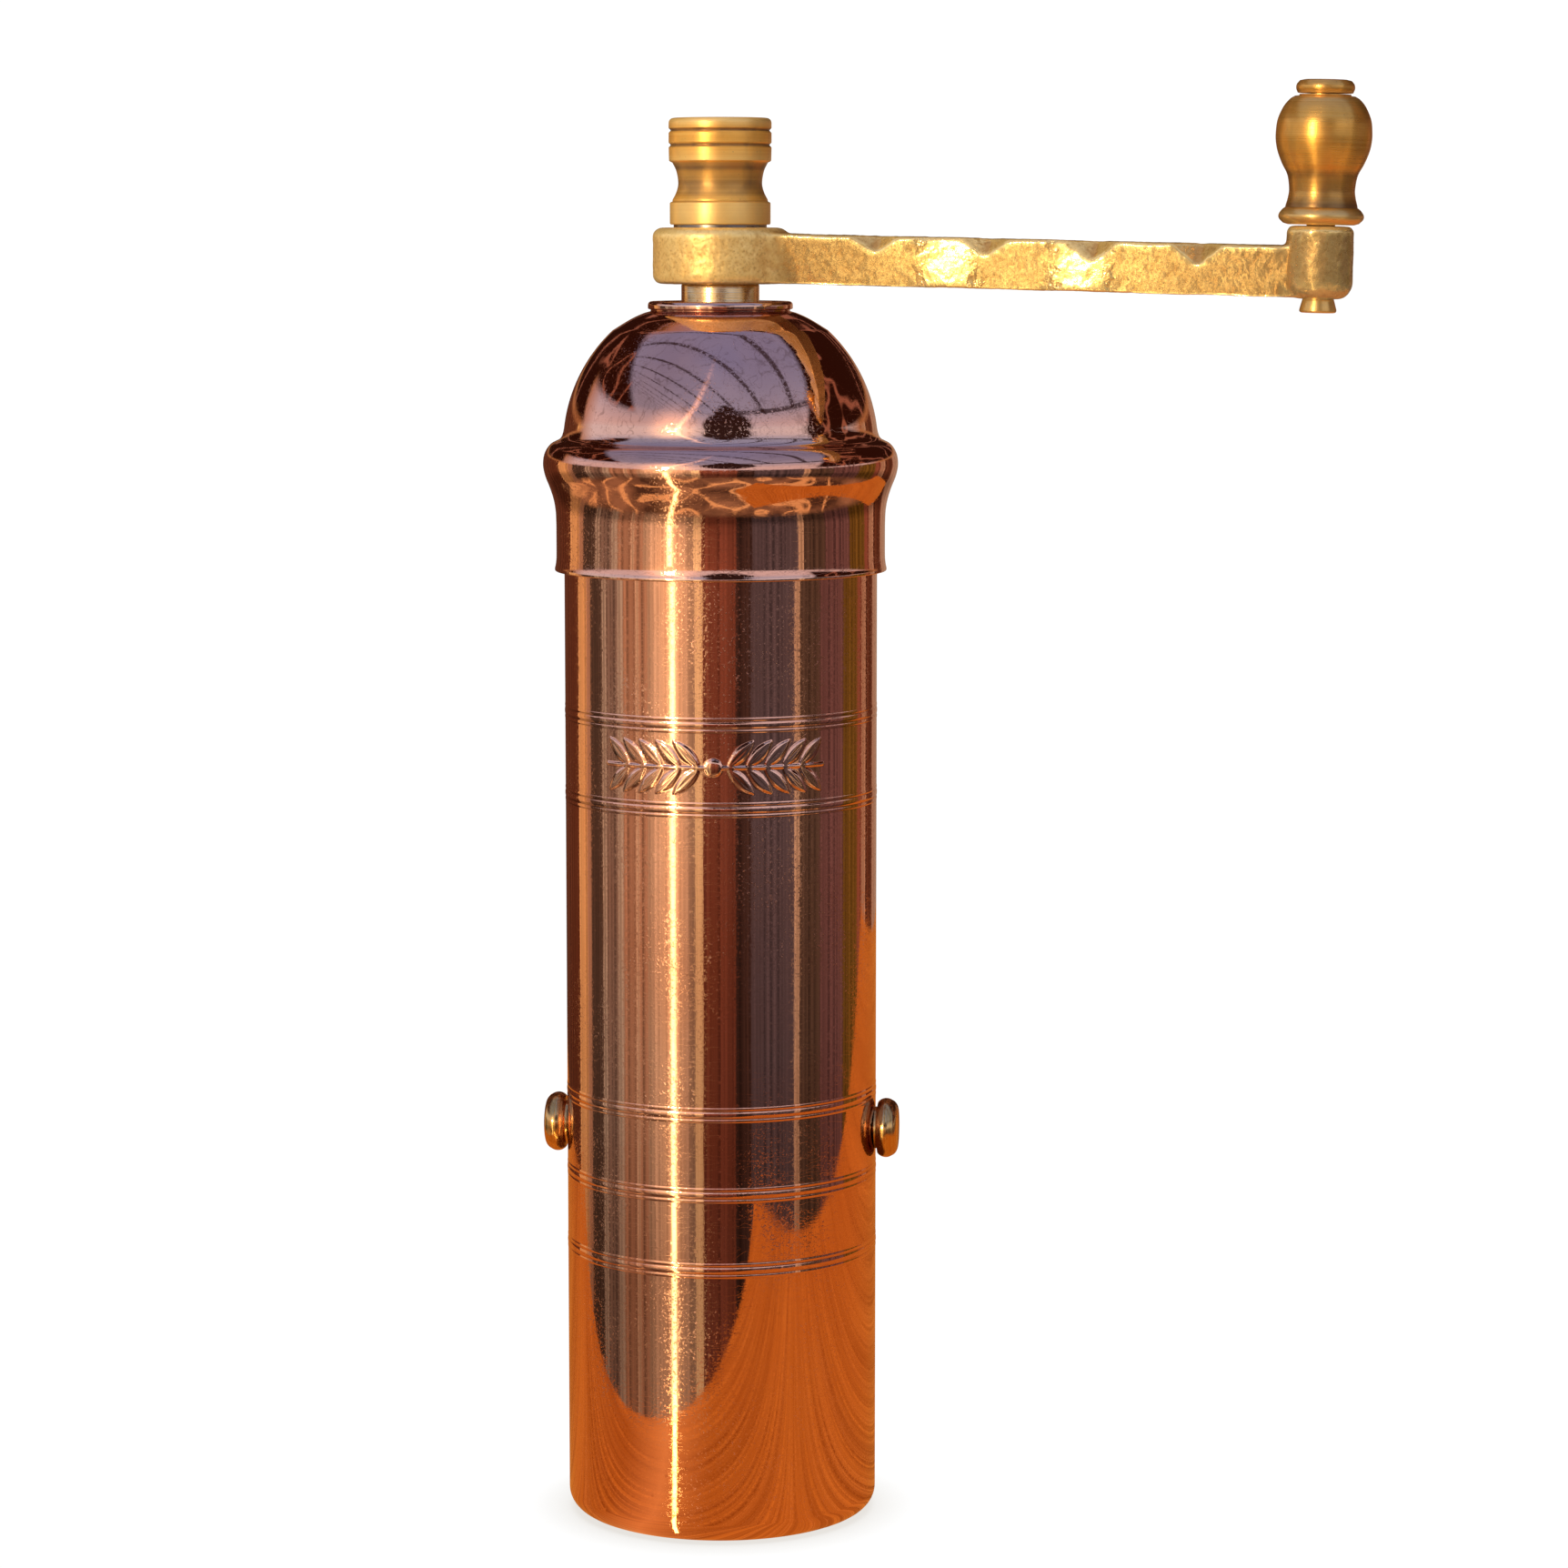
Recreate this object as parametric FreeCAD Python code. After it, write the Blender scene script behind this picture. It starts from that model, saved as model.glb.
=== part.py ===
"""Hand pepper mill with a copper body and a brass crank, as separate pieces.

Millimetres, +Z up. The origin is the centre of the base rim, on the tube's axis, and the
crank points along +X. Each function returns one named piece, already in its place, and
the last lines write every piece to parts/NAME.step.
"""

import math
import os

import FreeCAD
import Part

V = FreeCAD.Vector
UP = V(0, 0, 1)
ORIGIN = V(0, 0, 0)

# ---- driving sizes ----------------------------------------------------------------
# body tube
TUBE_R = 23.0
TUBE_WALL = 1.0
TUBE_TOP_Z = 159.4
FOOT_CURL_R = 3.0          # the rim curls inwards at the foot
FOOT_HOLE_R = 19.0
BEAD_BANDS_Z = (40.9, 52.0, 63.8, 108.2, 120.4)
BEAD_PITCH = 0.86
BEAD_ROWS = ((-1, 0.50, 0.06), (0, 0.95, 0.10), (1, 0.50, 0.06))   # place, width, height
FRONT_AZIMUTH = -74.0      # where the embossed sprig faces
# embossed sprig, between the two upper bead bands
SPRIG_Z = 114.3
SPRIG_HEIGHT = 0.16
LEAF_PAIRS = 5
LEAF_PITCH = 2.7
LEAF_START = 2.0
LEAF_LENGTH = 5.4
LEAF_WIDTH = 2.0
LEAF_ANGLE = 45.0
STEM_WIDTH = 0.5
BERRY_R = 1.3
# side screws, which hold the grinder in the tube
SIDE_SCREW_AZIMUTH = 12.0
SIDE_SCREW_Z = 58.0
SIDE_SCREW_R = 2.0
SIDE_HEAD_R = 4.4
SIDE_HEAD_OUT = 26.5       # how far the head's crown is from the axis
SIDE_HEAD_IN = 23.45
# grinder
FRAME_R = 21.95
FRAME_SEAT_R = 17.4        # where the outer burr sits
FRAME_THROAT_R = 16.5
FRAME_Z = (47.0, 69.0)
SEAT_TOP_Z = 61.0
CROSSBAR_WIDTH = 8.0
CROSSBAR_BOTTOM_Z = 64.5
GUIDE_BOSS_R = 7.0
GUIDE_BOSS_BOTTOM_Z = 62.5
BEARING_GAP = 0.05         # radial, shaft in its bearings
OUTER_CREST_R = (14.95, 11.5)      # at the bottom and the top of the outer burr
OUTER_CONE_BOTTOM_Z = 49.0
OUTER_TEETH = 20
INNER_R = (14.6, 7.5)
INNER_Z = (48.6, 61.0)
INNER_TEETH = 10
PIN_R = 1.0
PIN_Z = 50.6
# lower bridge and adjuster
BRIDGE_WIDTH = 9.0
BRIDGE_Z = (43.5, 47.0)
BRIDGE_BOSS_BOTTOM_Z = 33.0
BRIDGE_SCREW_R = 1.5
BRIDGE_SCREW_ORBIT = 19.5
BALL_R = 2.5
ADJUSTER_R = 3.0
THREAD_GAP = 0.1
ADJUSTER_HEAD_R = 8.0
ADJUSTER_HEAD_Z = (18.0, 24.0)
ADJUSTER_KNURLS = 24
ADJUSTER_PITCH = 0.8
SPRING_R = 4.3
SPRING_WIRE_R = 0.4
SPRING_TURNS = 5
SPRING_ROOM = 0.45         # left under the spring, for the finest grind
# shaft
SHAFT_R = 4.0
SHAFT_BOTTOM_Z = 44.0
COLLAR_R = 5.7
COLLAR_BOTTOM_Z = 171.0
HUB_SEAT_Z = 182.8
SQUARE = 6.4
SQUARE_TOP_Z = 190.7
STUD_R = 3.0
STUD_TOP_Z = 200.2
STUD_PITCH = 1.0
# cap
SKIRT_R = 24.15
SKIRT_GAP = 0.15
SKIRT_RIM_R = 24.4         # the skirt's rim flares out a little
BEAD_R = 26.1
BEAD_MID_Z = 156.5
SKIRT_BOTTOM_Z = 141.0
CAP_HOLE_R = 8.6
CAP_TOP_Z = 180.3
# crank
HUB_R = 9.9
HUB_TOP_Z = 191.0
CRANK_RADIUS = 88.6
ARM_WIDTH = 6.2
ARM_HEIGHT = 7.3
ARM_MID_Z = 186.75
ARM_DROOP = 1.25           # degrees that the arm slopes down
HUB_FLARE_R = 5.0
BOSS_R = 4.75
BOSS_SPAN = (-3.8, 6.4)    # from the arm's middle, at the crank's end
NOTCH_PLACES = (24.5, 40.9, 56.5, 71.8)
NOTCH_DEPTHS = (2.5, 2.6, 2.9, 3.2)
NOTCH_HALF_WIDTH = 4.0
# knob, from the boss's top face
SPINDLE_R = 2.0
KNOB_FOOT = 0.15
KNOB_TOP = 18.2
SPINDLE_HEAD_R = 4.1
SPINDLE_TOP = 20.25
SPINDLE_TAIL = 1.9
# finial
WASHER_R = 6.8
WASHER_THICK = 0.4
FINIAL_TOP_Z = 206.8
FINIAL_R = 7.5
FINIAL_BASE_R = 7.35
FINIAL_WAIST_R = 6.1
FINIAL_WAIST_Z = 197.4
FINIAL_GROOVES_Z = (202.9, 205.0)


# ---- helpers ----------------------------------------------------------------------
class Outline:
    """A closed outline in the plane of radius and height, walked point by point."""

    def __init__(self, r, z):
        self.start = self.here = V(r, 0, z)
        self.edges = []

    def line(self, r, z):
        to = V(r, 0, z)
        self.edges.append(Part.LineSegment(self.here, to).toShape())
        self.here = to
        return self

    def arc(self, mid_r, mid_z, r, z):
        to = V(r, 0, z)
        self.edges.append(Part.Arc(self.here, V(mid_r, 0, mid_z), to).toShape())
        self.here = to
        return self

    def turned(self):
        """The solid that the outline makes when it turns about the Z axis."""
        if self.here.distanceToPoint(self.start) > 1e-6:
            self.line(self.start.x, self.start.z)
        return Part.Face(Part.Wire(self.edges)).revolve(ORIGIN, UP, 360)


def cylinder(radius, bottom, top, x=0.0, y=0.0):
    return Part.makeCylinder(radius, top - bottom, V(x, y, bottom), UP)


def ring(outer, inner, bottom, top):
    return cylinder(outer, bottom, top).cut(cylinder(inner, bottom - 1, top + 1))


def box(x, y, z):
    """A box from three (low, high) pairs."""
    return Part.makeBox(x[1] - x[0], y[1] - y[0], z[1] - z[0], V(x[0], y[0], z[0]))


def about_z(shape, degrees):
    turned = shape.copy()
    turned.rotate(ORIGIN, UP, degrees)
    return turned


def around(shape, count):
    """The shape and its copies, evenly spaced about the Z axis."""
    return [about_z(shape, 360.0 * i / count) for i in range(count)]


def prism(points, depth):
    """A prism from a closed polygon of points, pushed along a vector."""
    return Part.Face(Part.makePolygon(points + [points[0]])).extrude(depth)


def threaded(outline, radius, bottom, top, pitch):
    """Walks up a threaded length, as one V groove a turn, and ends at its top."""
    depth = 0.45 * pitch
    turns = int((top - bottom) / pitch)
    plain = (top - bottom - turns * pitch) / 2 + 0.001
    outline.line(radius, bottom + plain)
    z = bottom + plain
    for _ in range(turns):
        outline.line(radius - depth, z + pitch / 2)
        z += pitch - 0.002 / turns
        outline.line(radius, z)
    return outline.line(radius, top)


# ---- body tube --------------------------------------------------------------------
def leaf_outline(length, width):
    """A pointed leaf from the origin along +Y, in the plane of Y and Z."""
    tip = V(0, length, 0)
    upper = Part.Arc(ORIGIN, V(0, length / 2, width / 2), tip).toShape()
    lower = Part.Arc(tip, V(0, length / 2, -width / 2), ORIGIN).toShape()
    return Part.Wire([upper, lower])


def on_tube(wire, tilt, along):
    """A flat outline, tilted, set on the tube's front and made thick."""
    solid = Part.Face(wire).extrude(V(2, 0, 0))
    solid.rotate(ORIGIN, V(1, 0, 0), tilt)
    solid.translate(V(TUBE_R - 1, 0, SPRIG_Z))
    return about_z(solid, FRONT_AZIMUTH + math.degrees(along / TUBE_R))


def sprig():
    """Two laurel sprigs that grow from a berry in the middle of the front."""
    pieces = []
    for side in (1, -1):
        for pair in range(LEAF_PAIRS):
            along = side * (LEAF_START + pair * LEAF_PITCH)
            for up in (1, -1):
                tilt = up * LEAF_ANGLE if side > 0 else 180 - up * LEAF_ANGLE
                pieces.append(on_tube(leaf_outline(LEAF_LENGTH, LEAF_WIDTH), tilt, along))
    berry = Part.Wire([Part.Circle(ORIGIN, V(1, 0, 0), BERRY_R).toShape()])
    pieces.append(on_tube(berry, 0, 0))
    reach = LEAF_START + (LEAF_PAIRS + 0.6) * LEAF_PITCH
    sweep = 2 * math.degrees(reach / TUBE_R)
    stem = Part.makeCylinder(
        TUBE_R + 1, STEM_WIDTH, V(0, 0, SPRIG_Z - STEM_WIDTH / 2), UP, sweep
    )
    pieces.append(about_z(stem, FRONT_AZIMUTH - sweep / 2))
    skin = ring(TUBE_R + SPRIG_HEIGHT, TUBE_R - 0.3, SPRIG_Z - 5, SPRIG_Z + 5)
    return [piece.common(skin) for piece in pieces]


def side_screw_holes(radius):
    hole = Part.makeCylinder(radius, 60, V(-30, 0, SIDE_SCREW_Z), V(1, 0, 0))
    return about_z(hole, SIDE_SCREW_AZIMUTH)


def body_tube():
    inner = TUBE_R - TUBE_WALL
    curl = FOOT_CURL_R
    bend = curl * (1 - math.sqrt(0.5))
    outline = Outline(FOOT_HOLE_R, 0).line(TUBE_R - curl, 0)
    outline.arc(TUBE_R - bend, bend, TUBE_R, curl)
    for band in BEAD_BANDS_Z:
        for place, width, height in BEAD_ROWS:
            z = band + place * BEAD_PITCH
            outline.line(TUBE_R, z - width / 2)
            outline.arc(TUBE_R + height, z, TUBE_R, z + width / 2)
    outline.line(TUBE_R, TUBE_TOP_Z).line(inner, TUBE_TOP_Z).line(inner, curl)
    inner_curl = curl - TUBE_WALL
    inner_bend = inner_curl * (1 - math.sqrt(0.5))
    outline.arc(inner - inner_bend, TUBE_WALL + inner_bend, inner - inner_curl, TUBE_WALL)
    outline.line(FOOT_HOLE_R, TUBE_WALL)
    tube = outline.turned().cut(side_screw_holes(SIDE_SCREW_R + 0.1))
    return tube.fuse(sprig())


# ---- grinder ----------------------------------------------------------------------
def burr_frame():
    """Cast ring that fills the tube, with a crossbar above that guides the shaft."""
    bottom, top = FRAME_Z
    frame = ring(FRAME_R, FRAME_SEAT_R, bottom, top)
    frame = frame.fuse(ring(FRAME_R, FRAME_THROAT_R, SEAT_TOP_Z, top))
    half = CROSSBAR_WIDTH / 2
    bar = box((-FRAME_R, FRAME_R), (-half, half), (CROSSBAR_BOTTOM_Z, top))
    frame = frame.fuse(bar.common(cylinder(FRAME_R - 1, bottom, top)))
    frame = frame.fuse(cylinder(GUIDE_BOSS_R, GUIDE_BOSS_BOTTOM_Z, top))
    frame = frame.cut(cylinder(SHAFT_R + BEARING_GAP, bottom, top + 1))
    for x in (-BRIDGE_SCREW_ORBIT, BRIDGE_SCREW_ORBIT):
        hole = cylinder(BRIDGE_SCREW_R, bottom, bottom + 6.2, x)
        frame = frame.cut(about_z(hole, 90))
    frame = about_z(frame, SIDE_SCREW_AZIMUTH).cut(side_screw_holes(SIDE_SCREW_R))
    return frame.removeSplitter()


def outer_burr():
    """Hardened ring with a toothed funnel inside, pressed up into the frame."""
    bottom, top = FRAME_Z[0], SEAT_TOP_Z
    low_r, high_r = OUTER_CREST_R
    outline = Outline(low_r, bottom).line(FRAME_SEAT_R - 0.05, bottom)
    outline.line(FRAME_SEAT_R - 0.05, top).line(high_r, top)
    outline.line(low_r, OUTER_CONE_BOTTOM_Z)
    burr = outline.turned()
    depth, half = 0.9, 0.8
    low = [V(low_r - 1, -half * 2, bottom - 1), V(low_r - 1, half * 2, bottom - 1)]
    groove = prism(low + [V(low_r + depth, 0, bottom - 1)], V(high_r - low_r, 2.0, top - bottom + 2))
    return burr.cut(around(groove, OUTER_TEETH))


def inner_burr():
    """Toothed cone that turns with the shaft, widest at the bottom."""
    low_r, high_r = INNER_R
    low, high = INNER_Z
    outline = Outline(SHAFT_R, low).line(low_r, low).line(low_r, low + 0.6)
    outline.line(high_r, high).line(SHAFT_R, high)
    burr = outline.turned()
    base = low - 2
    spread = (low_r - high_r) / (high - low)
    outside = low_r + 2 * spread
    tooth = [V(outside + 2, -2.6, base), V(outside + 2, 2.6, base), V(outside - 1.0, 0.6, base)]
    rise = high - low + 4
    slot = prism(tooth, V(-spread * rise - 1.6, 6.0, rise))
    burr = burr.cut(around(slot, INNER_TEETH))
    return burr.cut(Part.makeCylinder(PIN_R, 40, V(-20, 0, PIN_Z), V(1, 0, 0)))


def burr_pin():
    """Pin across the shaft that drives the inner burr."""
    reach = 12.4
    return Part.makeCylinder(PIN_R, 2 * reach, V(-reach, 0, PIN_Z), V(1, 0, 0))


def side_screws():
    """Two round-headed screws through the tube's wall into the frame."""
    shank_tip = FRAME_SEAT_R + 0.4
    outline = Outline(0, shank_tip).line(SIDE_SCREW_R, shank_tip)
    outline.line(SIDE_SCREW_R, TUBE_R).line(SIDE_HEAD_R - 1.3, TUBE_R)
    outline.line(SIDE_HEAD_R - 1.3, SIDE_HEAD_IN).line(SIDE_HEAD_R - 0.5, SIDE_HEAD_IN)
    outline.arc(SIDE_HEAD_R, SIDE_HEAD_IN + 1.1, SIDE_HEAD_R - 0.25, SIDE_HEAD_OUT - 1.0)
    outline.arc(SIDE_HEAD_R - 0.75, SIDE_HEAD_OUT - 0.35, SIDE_HEAD_R - 1.7, SIDE_HEAD_OUT - 0.1)
    outline.line(0, SIDE_HEAD_OUT)
    screw = outline.turned()
    slot = box((-0.5, 0.5), (-5, 5), (SIDE_HEAD_OUT - 1.1, SIDE_HEAD_OUT + 1))
    screw = screw.cut(slot)
    screw.rotate(ORIGIN, V(0, 1, 0), 90)
    screw.rotate(ORIGIN, V(1, 0, 0), 90)
    screw.translate(V(0, 0, SIDE_SCREW_Z))
    return [about_z(screw, SIDE_SCREW_AZIMUTH + side) for side in (0, 180)]


# ---- lower bridge and adjuster ----------------------------------------------------
def lower_bridge():
    """Strap under the burrs: a bearing for the shaft's foot and a thread for the adjuster."""
    low, high = BRIDGE_Z
    half = BRIDGE_WIDTH / 2
    strap = box((-FRAME_R, FRAME_R), (-half, half), (low, high))
    strap = strap.common(cylinder(FRAME_R - 0.1, low, high))
    boss = cylinder(GUIDE_BOSS_R, BRIDGE_BOSS_BOTTOM_Z, high)
    bridge = strap.fuse(boss)
    seat = SHAFT_BOTTOM_Z - 2 * BALL_R - 1.5
    bridge = bridge.cut(cylinder(SHAFT_R + BEARING_GAP, seat, high + 1))
    bridge = bridge.cut(cylinder(ADJUSTER_R + THREAD_GAP, BRIDGE_BOSS_BOTTOM_Z - 1, seat))
    for x in (-BRIDGE_SCREW_ORBIT, BRIDGE_SCREW_ORBIT):
        bridge = bridge.cut(cylinder(BRIDGE_SCREW_R + 0.1, low - 1, high + 1, x))
    return about_z(bridge.removeSplitter(), SIDE_SCREW_AZIMUTH + 90)


def bridge_screws():
    """Two cheese-headed screws that hold the bridge under the frame."""
    low = BRIDGE_Z[0]
    screw = cylinder(BRIDGE_SCREW_R, low, FRAME_Z[0] + 5.5).fuse(cylinder(2.4, low - 1.8, low))
    screw = screw.cut(box((-3, 3), (-0.4, 0.4), (low - 3, low - 1.0))).removeSplitter()
    screw.translate(V(BRIDGE_SCREW_ORBIT, 0, 0))
    return [about_z(screw, SIDE_SCREW_AZIMUTH + side) for side in (90, 270)]


def thrust_ball():
    """Steel ball between the adjuster's tip and the shaft's foot."""
    return Part.makeSphere(BALL_R, V(0, 0, SHAFT_BOTTOM_Z - BALL_R))


def adjusting_screw():
    """Knurled screw that lifts the ball, the shaft and the inner burr."""
    low, high = ADJUSTER_HEAD_Z
    tip = SHAFT_BOTTOM_Z - 2 * BALL_R
    rim = 0.8
    outline = Outline(0, low).line(ADJUSTER_HEAD_R - rim, low).line(ADJUSTER_HEAD_R, low + rim)
    outline.line(ADJUSTER_HEAD_R, high - rim).line(ADJUSTER_HEAD_R - rim, high)
    outline.line(ADJUSTER_R, high)
    threaded(outline, ADJUSTER_R, high, tip, ADJUSTER_PITCH).line(0, tip)
    screw = outline.turned()
    out = ADJUSTER_HEAD_R
    notch = prism([V(out - 0.6, 0, low - 1), V(out + 1, -0.9, low - 1), V(out + 1, 0.9, low - 1)],
                  V(0, 0, high - low + 2))
    return screw.cut(around(notch, ADJUSTER_KNURLS))


def adjuster_spring():
    """Coil spring that keeps the adjuster from turning by itself."""
    bottom = ADJUSTER_HEAD_Z[1] + SPRING_ROOM + SPRING_WIRE_R
    top = BRIDGE_BOSS_BOTTOM_Z - SPRING_WIRE_R - 0.02
    pitch = (top - bottom) / SPRING_TURNS
    helix = Part.makeHelix(pitch, top - bottom, SPRING_R)
    helix.translate(V(0, 0, bottom))
    section = Part.Wire([Part.Circle(V(SPRING_R, 0, bottom), V(0, 1, 0), SPRING_WIRE_R).toShape()])
    return Part.Wire(helix.Edges).makePipeShell([section], True, True)


# ---- shaft ------------------------------------------------------------------------
def square_bar(across, corner_r, bottom, top):
    """A round bar with four flats milled on it."""
    half = across / 2
    bar = box((-half, half), (-half, half), (bottom, top))
    return bar.common(cylinder(corner_r, bottom, top))


def drive_shaft():
    """Steel shaft: foot, round length, square for the crank and a threaded stud."""
    rod = cylinder(SHAFT_R, SHAFT_BOTTOM_Z, HUB_SEAT_Z)
    square = square_bar(SQUARE, SHAFT_R, HUB_SEAT_Z, SQUARE_TOP_Z)
    outline = Outline(0, SQUARE_TOP_Z).line(STUD_R, SQUARE_TOP_Z)
    threaded(outline, STUD_R, SQUARE_TOP_Z, STUD_TOP_Z - 0.5, STUD_PITCH)
    stud = outline.line(STUD_R - 0.5, STUD_TOP_Z).line(0, STUD_TOP_Z).turned()
    pin_hole = Part.makeCylinder(PIN_R, 40, V(-20, 0, PIN_Z), V(1, 0, 0))
    return rod.fuse([square, stud]).cut(pin_hole).removeSplitter()


def shaft_collar():
    """Sleeve pressed on the shaft: it turns in the cap's bush and carries the hub."""
    return ring(COLLAR_R, SHAFT_R, COLLAR_BOTTOM_Z, HUB_SEAT_Z)


# ---- cap --------------------------------------------------------------------------
def dome_cap():
    """Spun cap: skirt, bead, dome and a rolled lip round the shaft."""
    inner = TUBE_R + SKIRT_GAP
    rim = SKIRT_BOTTOM_Z
    outline = Outline(inner, rim).line(SKIRT_RIM_R - 0.35, rim)
    outline.arc(SKIRT_RIM_R - 0.1, rim + 0.1, SKIRT_RIM_R, rim + 0.35)
    outline.arc(SKIRT_R + 0.07, rim + 1.3, SKIRT_R, rim + 2.4)
    # skirt, cove and bead, outside
    outline.line(SKIRT_R, 148.4).arc(24.4, 150.95, 25.08, 153.2).arc(25.8, 154.9, BEAD_R, BEAD_MID_Z)
    outline.arc(25.5, 158.75, 24.2, 159.95).arc(23.62, 160.3, 23.35, 160.9)
    # dome, outside, and the lip
    outline.arc(21.1, 168.5, 16.7, 175.25).arc(13.5, 177.6, 10.2, 178.9)
    outline.arc(10.55, 179.45, 9.7, CAP_TOP_Z).line(CAP_HOLE_R, CAP_TOP_Z)
    # back down inside
    outline.line(CAP_HOLE_R, 178.5).arc(12.8, 176.9, 16.05, 174.6).arc(20.2, 168.1, 22.4, 160.9)
    outline.arc(22.7, 160.05, 23.4, 159.3).arc(24.55, 158.4, 25.05, 157.1)
    outline.arc(24.6, 155.5, 24.0, 153.7).arc(23.4, 151.6, inner, 149.6)
    return outline.turned()


def cap_bush():
    """Brass bush in the cap's top, flanged inside, that the collar turns in."""
    bore = COLLAR_R + 2 * BEARING_GAP
    outline = Outline(bore, 174.0).line(CAP_HOLE_R + 2.0, 174.0).line(CAP_HOLE_R + 2.0, 175.2)
    outline.line(CAP_HOLE_R, 177.4).line(CAP_HOLE_R, CAP_TOP_Z - 0.25)
    outline.line(bore, CAP_TOP_Z - 0.25)
    return outline.turned()


# ---- crank ------------------------------------------------------------------------
def drooped(shape):
    """A shape built on a level arm, sloped down about the hub's middle as the arm is."""
    sloped = shape.copy()
    sloped.rotate(V(0, 0, ARM_MID_Z), V(0, 1, 0), ARM_DROOP)
    return sloped


def hub_flares():
    """The webs that widen the arm where it meets the hub, one on each side."""
    centre_y = ARM_WIDTH / 2 + HUB_FLARE_R
    reach = math.sqrt((HUB_R + HUB_FLARE_R) ** 2 - centre_y**2)
    edge = centre_y * HUB_R / (HUB_R + HUB_FLARE_R)
    low, high = ARM_MID_Z - ARM_HEIGHT / 2, ARM_MID_Z + ARM_HEIGHT / 2
    web = box((0, reach), (-edge, edge), (low, high))
    for side in (1, -1):
        web = web.cut(cylinder(HUB_FLARE_R, low - 1, high + 1, reach, side * centre_y))
    return web


def corner_notch(place, depth, side):
    """A V-shaped prism laid across the arm's top corner at 45 degrees."""
    half = ARM_WIDTH / 2
    top = ARM_MID_Z + ARM_HEIGHT / 2
    inward = V(0, -side, -1) * math.sqrt(0.5)
    across = V(0, -side, 1) * math.sqrt(0.5)
    corner = V(place, side * half, top)
    deep = depth * math.sqrt(0.5)
    slope = NOTCH_HALF_WIDTH / deep
    out = 3.0
    wide = V(slope * (deep + out), 0, 0)
    apex = corner + inward * deep
    mouth = corner - inward * out
    reach = 12.0
    points = [p - across * (reach / 2) for p in (apex, mouth + wide, mouth - wide)]
    return prism(points, across * reach)


def crank_arm():
    """Cast arm: hub with a square hole, notched bar and end boss."""
    half = ARM_WIDTH / 2
    low, high = ARM_MID_Z - ARM_HEIGHT / 2, ARM_MID_Z + ARM_HEIGHT / 2
    bar = box((0, CRANK_RADIUS), (-half, half), (low, high)).fuse(hub_flares())
    cuts = [
        corner_notch(place, depth, side)
        for place, depth in zip(NOTCH_PLACES, NOTCH_DEPTHS)
        for side in (1, -1)
    ]
    bar = bar.cut(cuts)
    boss_low, boss_high = (ARM_MID_Z + end for end in BOSS_SPAN)
    outline = Outline(0, boss_low).line(BOSS_R - 2.2, boss_low)
    outline.arc(BOSS_R - 0.65, boss_low + 0.65, BOSS_R, boss_low + 2.2)
    outline.line(BOSS_R, boss_high - 0.6).line(BOSS_R - 0.6, boss_high).line(0, boss_high)
    boss = outline.turned()
    boss.translate(V(CRANK_RADIUS, 0, 0))
    arm = bar.fuse(boss).cut(cylinder(SPINDLE_R + 0.05, boss_low - 1, boss_high + 1, CRANK_RADIUS))
    round_r = 1.3
    bend = round_r * (1 - math.sqrt(0.5))
    hub = Outline(0, HUB_SEAT_Z).line(HUB_R - round_r, HUB_SEAT_Z)
    hub.arc(HUB_R - bend, HUB_SEAT_Z + bend, HUB_R, HUB_SEAT_Z + round_r)
    hub.line(HUB_R, HUB_TOP_Z - round_r)
    hub.arc(HUB_R - bend, HUB_TOP_Z - bend, HUB_R - round_r, HUB_TOP_Z).line(0, HUB_TOP_Z)
    whole = drooped(arm).fuse(hub.turned())
    hole = square_bar(SQUARE + 0.1, SHAFT_R + 0.05, HUB_SEAT_Z - 1, HUB_TOP_Z + 1)
    return whole.cut(hole).removeSplitter()


def at_crank_end(shape):
    """A piece built on the Z axis from the boss's top face, moved to the crank's end."""
    moved = shape.copy()
    moved.translate(V(CRANK_RADIUS, 0, ARM_MID_Z + BOSS_SPAN[1]))
    return drooped(moved)


def knob_spindle():
    """Rivet that holds the knob: a head on top and a flared tail under the boss."""
    boss_bottom = BOSS_SPAN[0] - BOSS_SPAN[1]
    tail = boss_bottom - SPINDLE_TAIL
    outline = Outline(0, tail).line(SPINDLE_R + 0.75, tail).line(SPINDLE_R + 0.2, boss_bottom)
    outline.line(SPINDLE_R, boss_bottom).line(SPINDLE_R, KNOB_TOP + KNOB_FOOT)
    outline.line(SPINDLE_HEAD_R - 0.4, KNOB_TOP + KNOB_FOOT)
    outline.arc(SPINDLE_HEAD_R, KNOB_TOP + 0.9, SPINDLE_HEAD_R - 0.5, SPINDLE_TOP - 0.3)
    outline.line(SPINDLE_HEAD_R - 1.2, SPINDLE_TOP).line(0, SPINDLE_TOP)
    return at_crank_end(outline.turned())


def crank_knob():
    """Turned knob with a foot ring, a neck and a round head, free on its spindle."""
    bore = SPINDLE_R + 0.12
    outline = Outline(bore, KNOB_FOOT).line(4.9, KNOB_FOOT).arc(5.9, 1.35, 5.1, 2.5)
    outline.arc(4.5, 5.0, 4.95, 7.2).arc(6.3, 9.8, 6.72, 12.6).arc(5.9, 16.0, 4.4, 17.85)
    outline.line(3.6, 17.95).line(3.6, KNOB_TOP).line(bore, KNOB_TOP)
    return at_crank_end(outline.turned())


# ---- finial -----------------------------------------------------------------------
def finial_washer():
    return ring(WASHER_R, STUD_R + 0.2, HUB_TOP_Z, HUB_TOP_Z + WASHER_THICK)


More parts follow.
